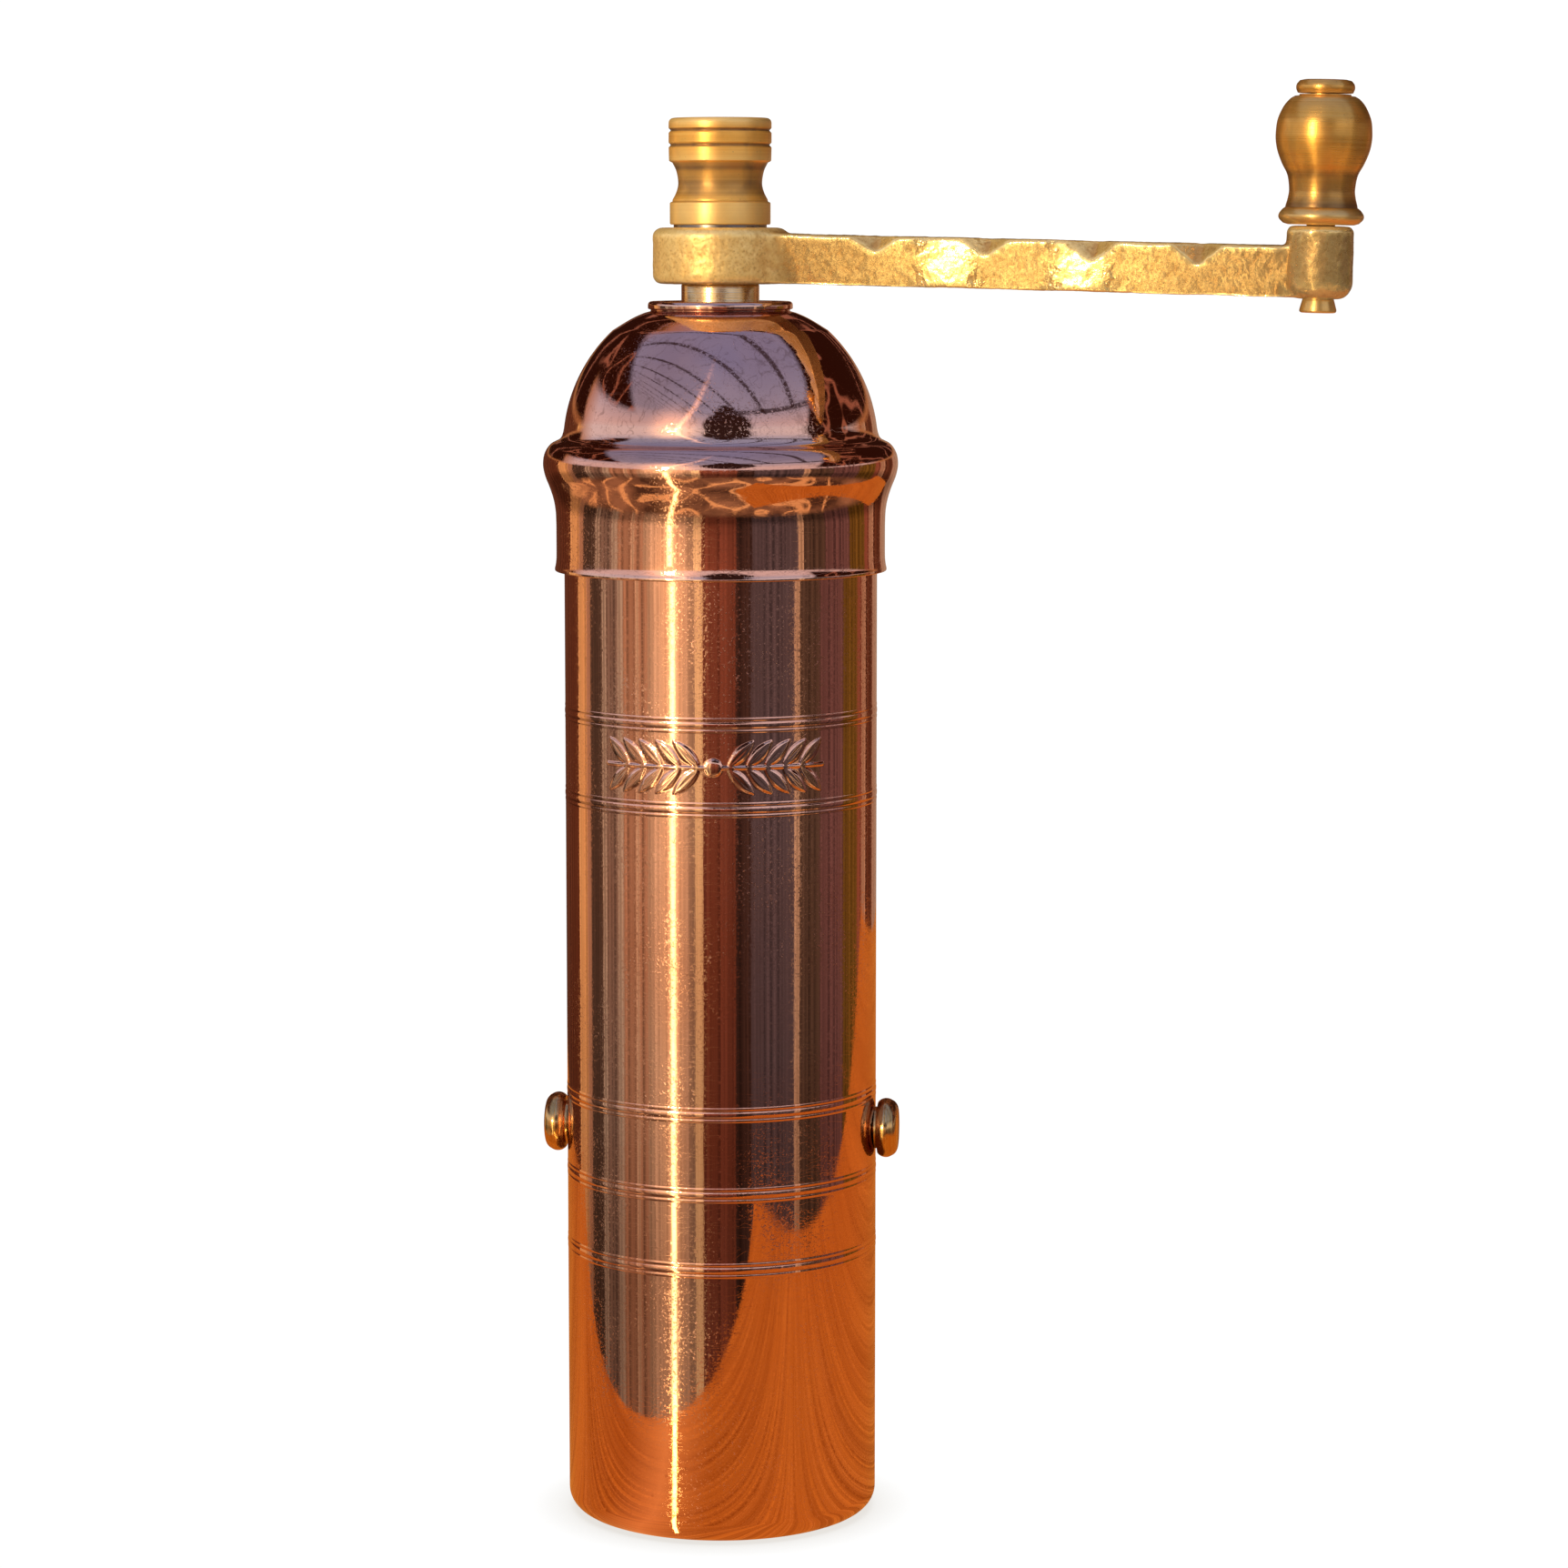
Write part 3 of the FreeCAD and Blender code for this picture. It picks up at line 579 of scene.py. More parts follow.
# ---- body tube
def bead_rows(band):
    """Outline points up one band of three beads."""
    reach = 1.9 * BEAD_PITCH
    rows = []
    for z in np.linspace(band - reach, band + reach, BEAD_ROW_POINTS):
        height = 0.0
        for place, width, tall in BEAD_ROWS:
            away = (z - band - place * BEAD_PITCH) / (width / 2)
            height = max(height, tall * (1 - away ** 2))
        rows.append((TUBE_R + height, z))
    return rows


def leaf_height(along, up, tilt, root):
    """Height of one pointed leaf with a midrib, from 0 to 1, over a patch of the tube."""
    ahead, aside = along - root, up
    u = ahead * math.cos(tilt) + aside * math.sin(tilt)
    v = -ahead * math.sin(tilt) + aside * math.cos(tilt)
    t = np.clip(u / LEAF_LENGTH, 0, 1)
    half = LEAF_WIDTH / 2 * 4 * t * (1 - t) + 1e-6
    body = np.clip(1 - (v / half) ** 2, 0, 1) ** 0.8 * ((u > 0) & (u < LEAF_LENGTH))
    rib = np.exp(-(v / RIB_HALF_WIDTH) ** 2) * (body > 0)
    return body * (1 - RIB_SHARE * rib)


def sprig_relief(angle, height, radius):
    """Two laurel sprigs that grow from a berry, raised on the outside of the tube: what they add
    to its radius, and how far they stand out for the finish."""
    along = (np.mod(angle - FRONT + math.pi, math.tau) - math.pi) * TUBE_R
    up = height - SPRIG_Z
    raised = np.zeros(np.broadcast(along, up).shape)
    for side in (1, -1):
        for pair in range(LEAF_PAIRS):
            root = LEAF_START + pair * LEAF_PITCH
            for tilt in (LEAF_ANGLE, -LEAF_ANGLE):
                raised = np.maximum(raised, leaf_height(side * along, up, tilt, root))
    reach = LEAF_START + (LEAF_PAIRS + 0.6) * LEAF_PITCH
    stem = np.clip(1 - (up / STEM_HALF_WIDTH) ** 2, 0, 1) ** 0.5 * (np.abs(along) < reach)
    berry = np.clip(1 - (along ** 2 + up ** 2) / BERRY_R ** 2, 0, 1) ** 0.5
    raised = np.maximum(np.maximum(raised, STEM_SHARE * stem), BERRY_SHARE * berry)
    raised = raised * (radius > TUBE_R - 0.1)
    return SPRIG_HEIGHT * raised, 0.12 * (raised > 0.5) - 0.10 * ((raised > 0.0) & (raised < 0.35))


def tube_shell():
    """The whole tube, with finer columns and rows where the sprig is."""
    inner = TUBE_R - TUBE_WALL
    line = [(FOOT_OPENING_R, 0.0), *arc(*FOOT_OUTSIDE, 10)]
    for band in BEAD_BANDS:
        line += bead_rows(band)
        if band == SPRIG_BANDS[0]:
            sprig_rows = np.arange(band + SPRIG_ROW_GAP, SPRIG_BANDS[1] - SPRIG_ROW_GAP, SPRIG_ROW_STEP)
            line += [(TUBE_R, z) for z in sprig_rows]
    line += rounded([(TUBE_R, TUBE_TOP - 2), (TUBE_R, TUBE_TOP, 0.35), (inner, TUBE_TOP, 0.35),
                     (inner, TUBE_TOP - 2)], closed=False)
    line += arc(*FOOT_INSIDE, 8)
    line += [(FOOT_OPENING_R, TUBE_WALL)]
    reach = (LEAF_START + (LEAF_PAIRS + 3) * LEAF_PITCH) / TUBE_R
    front = np.linspace(FRONT - reach, FRONT + reach, SPRIG_COLUMNS, endpoint=False)
    rest = np.linspace(FRONT + reach, FRONT - reach + math.tau, PLAIN_COLUMNS, endpoint=False)
    angles = np.concatenate([front, rest])
    return turned("tube_shell", line, angles=angles, relief=sprig_relief, reach=0.5)


# ---- cap
def cap_shell():
    """The spun cap, from its skirt up the cove, bead and dome to the lip, and down inside."""
    inner_skirt = TUBE_R + 0.15
    skirt = rounded([(inner_skirt, CAP_FOOT + 2), (inner_skirt, CAP_FOOT, 0.1),
                     (SKIRT_RIM_R, CAP_FOOT, 0.25), (SKIRT_RIM_R - 0.01, CAP_FOOT + 0.3)], closed=False)
    skirt += curve((SKIRT_RIM_R - 0.02, CAP_FOOT + 0.4), (24.26, 141.95), (24.17, 142.8), (SKIRT_R, 143.8))
    cove = curve((SKIRT_R, 147.6), (24.22, 149.5), (24.42, 150.95), (24.74, 152.2), (25.2, 153.5),
                 (25.68, 154.7), (25.98, 155.9), (26.04, 156.9), (25.86, 158.0), (25.4, 158.95),
                 (24.8, 159.6), (24.15, 159.95), steps=5)
    crease = curve(cove[-1], (23.65, 160.2), (23.3, 160.6), (23.08, 161.2), steps=5)
    low, high = math.asin(2.0 / DOME_R), radians(47)
    dome = [(DOME_R * math.cos(t), DOME_CENTRE + DOME_R * math.sin(t)) for t in np.linspace(low, high, 28)]
    crown = curve(dome[-1], (13.2, 177.65), (11.4, 178.5), (10.25, 178.85))
    lip = rounded([(10.2, 178.9), (10.2, 179.1), (10.6, 179.2, 0.2), (10.6, CAP_TOP, 0.75),
                   (8.6, CAP_TOP, 0.2), (8.6, 178.5)], closed=False)
    inside = arc((8.6, 178.3), (12.8, 176.8), (16.0, 174.5))
    inside += arc((16.0, 174.5), (20.1, 168.1), (22.3, 160.9))
    bead = curve((22.7, 160.05), (23.6, 159.25), (24.6, 158.4), (25.05, 157.2), (24.6, 155.5), (24.0, 153.7),
                 (23.5, 151.6), (inner_skirt, 149.6))
    return turned("cap_shell", skirt + cove + crease[1:] + dome[1:] + crown[1:] + lip + inside + bead,
                  segments=256, reach=0.9)


def collar_sleeve():
    """Sleeve between the cap and the crank's hub."""
    low = foot_of("shaft_collar")
    line = rounded([(SHAFT_R, low), (COLLAR_R, low, 0.4), (COLLAR_R, HUB_SEAT, 0.25), (SHAFT_R, HUB_SEAT)])
    return turned("collar_sleeve", line, segments=96)


# ---- finial
def finial_turning():
    """Turned nut: foot ring, hollow waist and a head with two grooves."""
    waist, groove = FINIAL_WAIST_END_R, FINIAL_GROOVE_DEPTH
    line = [(FINIAL_BORE_R, FINIAL_FOOT), (FINIAL_FOOT_R, FINIAL_FOOT, 0.25)]
    line += [(FINIAL_FOOT_R, 194.6, 0.22), (waist, 194.75, 0.15)]
    line += curve((waist, 195.0), (6.4, 196.1), (6.12, 197.4), (6.38, 199.1), (waist, 200.35))
    line += [(7.45, 200.6, 0.2)]
    for z in FINIAL_GROOVES:
        line += [(FINIAL_R, z - groove, 0.08), (FINIAL_R - groove, z, 0.1), (FINIAL_R, z + groove, 0.08)]
    line += [(FINIAL_R, FINIAL_TOP, 0.75), (0, FINIAL_TOP), (0, 201.8), (FINIAL_BORE_R, 200.6)]
    return turned("finial_turning", rounded(line), reach=1.6)


# ---- side screws
def slot_cutter():
    """A block as big as the screw's slot, and taller."""
    low, high = SIDE_SCREW_CROWN - SLOT_DEPTH, SIDE_SCREW_CROWN + 1
    corners = [(x * SLOT_HALF_WIDTH * MM, y * SLOT_HALF_LENGTH * MM, z * MM)
               for z in (low, high) for y in (-1, 1) for x in (-1, 1)]
    sides = [(0, 2, 3, 1), (4, 5, 7, 6), (0, 1, 5, 4), (2, 6, 7, 3), (0, 4, 6, 2), (1, 3, 7, 5)]
    mesh = bpy.data.meshes.new("slot_cutter")
    mesh.from_pydata(corners, [], sides)
    return show("slot_cutter", mesh)


def side_screw(name, azimuth):
    """Round-headed screw through the tube's wall: dome, rolled edge, neck and a slot."""
    tip, shank, seat, crown = SIDE_SCREW_TIP, SIDE_SCREW_R, TUBE_R, SIDE_SCREW_CROWN
    line = [(0, tip), (shank, tip), (shank, seat), (3.1, seat), (3.1, 23.45, 0.2)]
    line += arc((3.85, 23.45), (4.4, 24.5), (4.15, 25.5), 8)
    line += arc((4.15, 25.5), (3.65, 26.13), (2.7, 26.4), 6)[1:]
    line += [(1.4, crown - 0.03), (0, crown)]
    screw = turned(name, rounded(line), segments=96)
    cutter = slot_cutter()
    slot = screw.modifiers.new("slot", "BOOLEAN")
    slot.object, slot.operation, slot.solver = cutter, "DIFFERENCE", "EXACT"
    apply_modifiers(screw)
    bpy.data.objects.remove(cutter)
    screw.data.set_sharp_from_angle(angle=SHARP_ANGLE)
    turn = Matrix.Rotation(azimuth, 4, "Z") @ Matrix.Rotation(math.pi / 2, 4, "X")
    turn = turn @ Matrix.Rotation(math.pi / 2, 4, "Y")
    screw.matrix_world = Matrix.Translation((0, 0, SIDE_SCREW_Z * MM)) @ turn
    return screw


# ---- crank
def at_crank_end():
    """Where the boss's top face is, on the axis of the knob."""
    droop = Matrix.Rotation(ARM_DROOP, 4, "Y")
    middle = Matrix.Translation((0, 0, ARM_MID * MM))
    return middle @ droop @ Matrix.Translation((CRANK_RADIUS * MM, 0, BOSS_TOP * MM))


def soft_arm():
    """The CAD arm as an even, dense mesh."""
    mesh = NODES["crank_arm"].data.copy()
    mesh.name = "crank_casting"
    mesh.materials.clear()
    piece = show("crank_casting", mesh)
    remesh = piece.modifiers.new("remesh", "REMESH")
    remesh.mode, remesh.voxel_size = "VOXEL", CAST_VOXEL * MM
    apply_modifiers(piece)
    return piece


def cast_depth(co, from_hub):
    """How far the mould's lumps dent each point, in metres, none near the bores."""
    end = at_crank_end().translation
    from_end = np.hypot(co[:, 0] - end.x, co[:, 1]) / MM
    free = np.clip((from_hub - 7.0) / 2, 0, 1) * np.clip((from_end - 3.0) / 1.5, 0, 1)
    lumps = []
    for x, y, z in co / MM:
        at = Vector((x, y, z))
        lumps.append(sum(height * noise.noise(at * per_mm) for height, per_mm in CAST_LUMPS))
    return np.clip(np.array(lumps) - CAST_LUMP_SHIFT, -CAST_LUMP_DEPTH, 0.0) * free * MM


def side_lean(co, from_hub, normals):
    """How far the lean of the arm's sides moves each point along Y, in metres."""
    above_middle = co[:, 2] / MM - ARM_MID + from_hub * math.sin(ARM_DROOP)
    lean = LEAN_ALL_OVER + LEAN_MIDDLE * np.exp(-((from_hub - LEAN_MIDDLE_AT) / LEAN_MIDDLE_SPREAD) ** 2)
    lean += sum(LEAN_LOCAL * np.exp(-((from_hub - place) / LEAN_SPREAD) ** 2) for place in LEAN_PLACES)
    lean = lean * np.clip((from_hub - LEAN_START) / 4, 0, 1) * np.clip((LEAN_END - from_hub) / 3, 0, 1)
    side = np.clip(-normals[:, 1], 0, 1) - np.clip(normals[:, 1], 0, 1)
    return side * lean * above_middle * MM


def crank_casting():
    """The CAD arm made soft-edged and lumpy, as it comes out of a sand mould."""
    piece = soft_arm()
    mesh = piece.data
    edges = np.empty(len(mesh.edges) * 2, np.int32)
    mesh.edges.foreach_get("vertices", edges)
    edges = edges.reshape(-1, 2)
    co = neighbour_average(vectors_of(mesh.vertices, "co"), edges, 3)
    move_points(mesh, co)
    normals = vectors_of(mesh.vertex_normals, "vector")
    from_hub = np.hypot(co[:, 0], co[:, 1]) / MM
    co = co + normals * cast_depth(co, from_hub)[:, None]
    co[:, 1] += side_lean(co, from_hub, normals)
    move_points(mesh, co)
    away = co - neighbour_average(co, edges, 6)
    stands = np.einsum("ij,ij->i", away, normals) / (0.1 * MM)
    add_floats(mesh, "standing", stands)
    mesh.shade_smooth()
    return piece


def spindle_rivet():
    """Rivet through the boss and the knob, with a flared tail and a low head."""
    tail, boss, knob = -12.1, -10.2, 18.35
    line = [(0, tail), (2.72, tail, 0.35), (2.2, boss), (RIVET_R, boss), (RIVET_R, knob)]
    line += [(3.85, knob, 0.2)]
    line += arc((4.02, 18.75), (4.1, 19.2), (3.95, 19.7), 6)
    line += [(3.6, 20.1, 0.25), (2.9, 20.25), (0, 20.25)]
    piece = turned("spindle_rivet", rounded(line), segments=96, reach=0.4)
    piece.matrix_world = at_crank_end()
    return piece


def knob_turning():
    """Turned knob: foot ring, neck, round head and a narrow top."""
    line = [(KNOB_BORE_R, 0.15), (4.6, 0.15, 0.3)]
    line += curve((5.3, 0.35), (5.88, 0.95), (5.93, 1.55), (5.5, 2.2), (5.05, 2.55), steps=5)
    line += curve((4.98, 2.9), (4.72, 3.9), (4.6, 5.1), (4.9, 7.0), (5.72, 8.6), (6.36, 10.2), (6.66, 11.6),
                  (6.71, 12.9), (6.5, 14.7), (5.75, 16.45), (4.9, 17.5), (4.2, 17.95), steps=6)
    line += [(3.6, 18.02, 0.1), (3.6, 18.2), (KNOB_BORE_R, 18.2)]
    piece = turned("knob_turning", rounded(line), reach=1.8)
    piece.matrix_world = at_crank_end()
    return piece


# ---- all pieces
def build_outside():
    """The pieces that show, each on the body and in the place of its CAD node."""
    copper_tube = copper_finish("copper_tube", drawn=1.0)
    copper_cap = copper_finish("copper_cap", drawn=0.2)
    cast_brass = cast_brass_finish("cast_brass")
    finial_brass = turned_brass_finish("finial_brass", satin=0.20, tarnish=0.9, roughness=0.33)
    knob_brass = turned_brass_finish("knob_brass", satin=0.07, tarnish=0.8, roughness=0.25)
    screw_brass = machined_finish("screw_brass", SCREW_BRASS, BRASS_DEEP, roughness=0.13, grain=0.2)
    pale_brass = machined_finish("pale_brass", PALE_BRASS, BRASS, roughness=0.12, grain=0.3)

    settle(tube_shell(), copper_tube, "housing", "body_tube")
    settle(cap_shell(), copper_cap, "cap", "dome_cap")
    settle(collar_sleeve(), pale_brass, "shaft", "shaft_collar")
    settle(crank_casting(), cast_brass, "crank", "crank_arm")
    settle(spindle_rivet(), knob_brass, "crank", "knob_spindle")
    settle(knob_turning(), knob_brass, "knob", "crank_knob")
    settle(finial_turning(), finial_brass, "finial", "finial")
    for side, turn in (("right", 0), ("left", math.pi)):
        screw = side_screw("side_screw_" + side, SIDE_SCREW_AZIMUTH + turn)
        settle(screw, screw_brass, "housing", "side_screws")


def refinish_inside():
    """Better materials for the CAD nodes that stay."""
    steel = machined_finish("ground_steel", STEEL, darker(STEEL))
    burr_steel = cast_iron_finish("burr_steel", STEEL_DARK, darker(STEEL_DARK))
    iron = cast_iron_finish("cast_frame", IRON, darker(IRON))
    brass = machined_finish("adjuster_brass", BRASS, BRASS_DEEP)
    for material, nodes in (
        (iron, ("burr_frame",)),
        (burr_steel, ("outer_burr", "inner_burr")),
        (brass, ("adjusting_screw", "cap_bush")),
        (steel, ("burr_pin", "lower_bridge", "bridge_screws", "thrust_ball", "adjuster_spring",
                 "drive_shaft", "finial_washer")),
    ):
        for node in nodes:
            for slot in NODES[node].material_slots:
                slot.material = material


# ---- stage
CAMERA_AZIMUTH = radians(18)
CAMERA_DISTANCE = 0.667
CAMERA_HEIGHT = 0.1911
CAMERA_PITCH = radians(7)
CAMERA_RIGHT = 0.0093  # the view's middle is this far to the right of the tube
CAMERA_LENS = 104.2  # for a sensor 36 mm wide
SENSOR_WIDTH = 36
TO_CAMERA = Vector((math.sin(CAMERA_AZIMUTH), -math.cos(CAMERA_AZIMUTH), 0))
TO_RIGHT = Vector((math.cos(CAMERA_AZIMUTH), math.sin(CAMERA_AZIMUTH), 0))
SUN_AZIMUTH = -35  # degrees from the camera, to its left
SUN_HEIGHT = 9  # degrees
SUN_LAMP = {"height": SUN_HEIGHT, "angle": 2.6, "strength": 1.25, "color": (1.0, 0.77, 0.43)}
FILL_LAMP = {"height": 25, "angle": 40, "strength": 8.0, "color": (1.0, 0.88, 0.62)}
ROOF_BAR_SPACING = 0.53  # of the glass roof's height above the mill
GRAIN_AZIMUTH = 55  # degrees from the camera, which way the board's grain runs
FLOOR_HALF_WIDTH = 20
FLOOR_Z, GLINT_Z, BOARD_Z = -0.00005, -0.0001, -0.0003
# corners of the board, in metres
BOARD = ((0.112, 0.246), (0.507, -0.362), (0.100, -0.620), (-0.130, -0.340), (-0.225, -0.128))
GLINT_LENGTH, GLINT_NEAR_HALF, GLINT_FAR_HALF = 78, 0.30, 2.4  # in millimetres
BACKDROP = (1.08, 1.08, 1.08)
BACKDROP_GLOW = (0.70, 0.62, 0.50)  # what dull surfaces get from it
FLOOR_PALE = (1.04, 1.04, 1.04)
FLOOR_SHADE = (0.80, 0.77, 0.73)
BOARD_DARK, BOARD_LIGHT = (0.28, 0.070, 0.008), (0.70, 0.245, 0.036)
BOARD_PORE, BOARD_FIGURE = (0.30, 0.075, 0.009), (0.78, 0.28, 0.042)
BOARD_THREAD, BOARD_SHEEN = (1.05, 0.44, 0.12), (1.25, 0.60, 0.22)
GLINT_BRIGHT, GLINT_DIM = (12.0, 8.4, 3.0), (7.0, 4.6, 1.6)


def add_camera():
    """The scene's camera, on a level with the upper part of the mill and looking a little down."""
    camera = show("camera", bpy.data.cameras.new("camera"))
    camera.data.lens = CAMERA_LENS
    camera.data.sensor_width = SENSOR_WIDTH
    camera.data.clip_end = 2.5 * FLOOR_HALF_WIDTH
    place = TO_CAMERA * CAMERA_DISTANCE + TO_RIGHT * CAMERA_RIGHT + Vector((0, 0, CAMERA_HEIGHT))
    turn = Matrix.Rotation(CAMERA_AZIMUTH, 4, "Z") @ Matrix.Rotation(math.pi / 2 - CAMERA_PITCH, 4, "X")
    camera.matrix_world = Matrix.Translation(place) @ turn
    bpy.context.scene.camera = camera


def flat_card(name, corners, height):
    """A level plane through corners given as (towards the camera's right, towards the camera)."""
    points = [TO_RIGHT * a + TO_CAMERA * b + Vector((0, 0, height)) for a, b in corners]
    return new_piece(name, points, [tuple(range(len(points)))])


def add_floor():
    """Plain pale floor that glows, with a painted soft shadow close to the mill. Shiny metal mirrors the
    board instead.
    """
    corners = [(x * FLOOR_HALF_WIDTH, y * FLOOR_HALF_WIDTH) for x, y in ((-1, -1), (1, -1), (1, 1), (-1, 1))]
    floor = flat_card("floor", corners, FLOOR_Z)
    f = Finish("pale_floor", Metallic=0.0, Roughness=0.9,
               **{"Specular IOR Level": 0.0, "Emission Strength": 1.0})
    f.shader.inputs["Base Color"].default_value = (0, 0, 0, 1)
    # painted shadow: the glow goes to FLOOR_SHADE where ambient occlusion is low, close to the mill
    near = f.span(f.add("AmbientOcclusion", {"Distance": 0.014}).outputs["AO"], 0.35, 0.85)
    pale = f.mix(near, FLOOR_SHADE, FLOOR_PALE)
    f.tree.links.new(pale, f.shader.inputs["Emission Color"])
    wear(floor, f.done())
    floor.visible_glossy = False


def toward(degrees):
    """Level direction at an azimuth from the camera, as (towards its right, towards the camera)."""
    return math.sin(radians(degrees)), math.cos(radians(degrees))


def glowing_card(name, corners, height, finish, color):
    """A level light that only shiny metal sees, dim after a second bounce."""
    card = flat_card(name, corners, height)
    bounces = finish.add("LightPath").outputs["Ray Depth"]
    glow = finish.add("Emission", {"Color": color, "Strength": finish.span(bounces, 1.0, 2.0, 1.0, 0.15)})
    finish.tree.links.new(glow.outputs[0], finish.output.inputs["Surface"])
    wear(card, finish.material)
    for ray in ("camera", "diffuse", "shadow", "transmission", "volume_scatter"):
        setattr(card, "visible_" + ray, False)


def add_board():
    """Warm grained board under the mill, the glow in its lower half."""
    f = Finish("warm_board")
    parts = f.add("SeparateXYZ", {0: f.place}).outputs
    azimuth = f.math("ARCTAN2", parts[0], f.times(parts[1], -1.0))
    off_sun = f.distance(azimuth, radians(SUN_AZIMUTH) + CAMERA_AZIMUTH)
    sheen = f.math("POWER", f.span(off_sun, radians(30), 0.0), 1.5)
    turn = radians(90 - GRAIN_AZIMUTH) - CAMERA_AZIMUTH
    f.place = f.add("Mapping", {"Vector": f.place, "Rotation": (0, 0, turn)}).outputs[0]
    grain = f.noise((0.004, 0.75, 1.0), detail=3, low=0.36, high=0.64, warp=0.15)
    fine = f.noise((0.010, 3.2, 1.0), detail=2, low=0.4, high=0.6)
    figure = f.noise((0.002, 0.03, 1.0), detail=2, low=0.3, high=0.7)
    threads = f.noise((0.005, 5.0, 1.0), detail=2, low=0.55, high=0.70)
    color = f.layers(
        f.mix(grain, BOARD_DARK, BOARD_LIGHT), (fine, 0.55, BOARD_PORE), (figure, 0.35, BOARD_FIGURE),
        (threads, 0.55, BOARD_THREAD), (sheen, 0.45, BOARD_SHEEN),
    )
    glowing_card("warm_board", BOARD, BOARD_Z, f, color)


def add_glint():
    """The sun's glint on the board, a narrow wedge from the mill's foot towards the sun."""
    start, way = toward(SUN_AZIMUTH / 2), toward(SUN_AZIMUTH)
    side = toward(SUN_AZIMUTH + 90)
    corners = []
    for along, half in ((0, -GLINT_NEAR_HALF), (GLINT_LENGTH, -GLINT_FAR_HALF),
                        (GLINT_LENGTH, GLINT_FAR_HALF), (0, GLINT_NEAR_HALF)):
        corners.append([(start[i] * TUBE_R + way[i] * along + side[i] * half) * MM for i in (0, 1)])
    f = Finish("sun_glint")
    color = f.mix(f.noise((0.5, 0.5, 1.0)), GLINT_BRIGHT, GLINT_DIM)
    glowing_card("sun_glint", corners, GLINT_Z, f, color)


TONES = {
    "umber": (0.12, 0.04, 0.02), "amber": (0.80, 0.49, 0.21), "shade": (0.09, 0.065, 0.05),
    "stone": (0.50, 0.46, 0.38), "bark": (0.22, 0.17, 0.14), "clay": (0.42, 0.26, 0.17),
    "sand": (0.62, 0.48, 0.34), "dune": (0.48, 0.37, 0.27), "flame": (1.30, 1.05, 0.60),
    "rust": (0.27, 0.095, 0.06), "ink": (0.06, 0.035, 0.03), "slate": (0.10, 0.085, 0.105),
    "plum": (0.15, 0.085, 0.09), "moss": (0.16, 0.10, 0.02),
}
# what stands round the mill, as the azimuth from the camera where each tone starts, in degrees
SURROUNDINGS = (
    (-180, "umber"), (-130, "amber"), (-118, "clay"), (-112, "shade"), (-98, "stone"), (-94, "bark"),
    (-82, "stone"), (-77, "clay"), (-66, "sand"), (-62, "clay"), (-55, "sand"), (-30, "dune"),
    (-19, "flame"), (-13, "rust"), (10, "ink"), (22, "slate"), (55, "sand"), (60, "shade"), (78, "plum"),
    (102, "moss"), (120, "rust"), (127, "clay"), (135, "umber"), (150, "clay"),
)

SKY_HORIZON, SKY_LOW, SKY_HIGH = (0.75, 0.72, 0.85), (0.33, 0.42, 0.72), (0.20, 0.26, 0.58)
SKY_HAZE, SKY_BEHIND = (0.45, 0.52, 0.80), (0.42, 0.20, 0.085)
TWIG, SILHOUETTE = (0.05, 0.03, 0.03), (0.030, 0.015, 0.015)
MASS, MASS_LINE = (0.30, 0.13, 0.09), (0.025, 0.007, 0.004)
GROUND_DARK, GROUND_LIGHT, GROUND_STREAK = (0.080, 0.042, 0.026), (0.34, 0.19, 0.11), (1.1, 0.66, 0.30)
GLARE_AROUND, HALO = (0.36, 0.24, 0.13), (1.1, 0.75, 0.40)
GLARE_ABOVE, GLARE_BELOW = (1.5, 1.0, 0.65), (4.4, 3.4, 1.7)


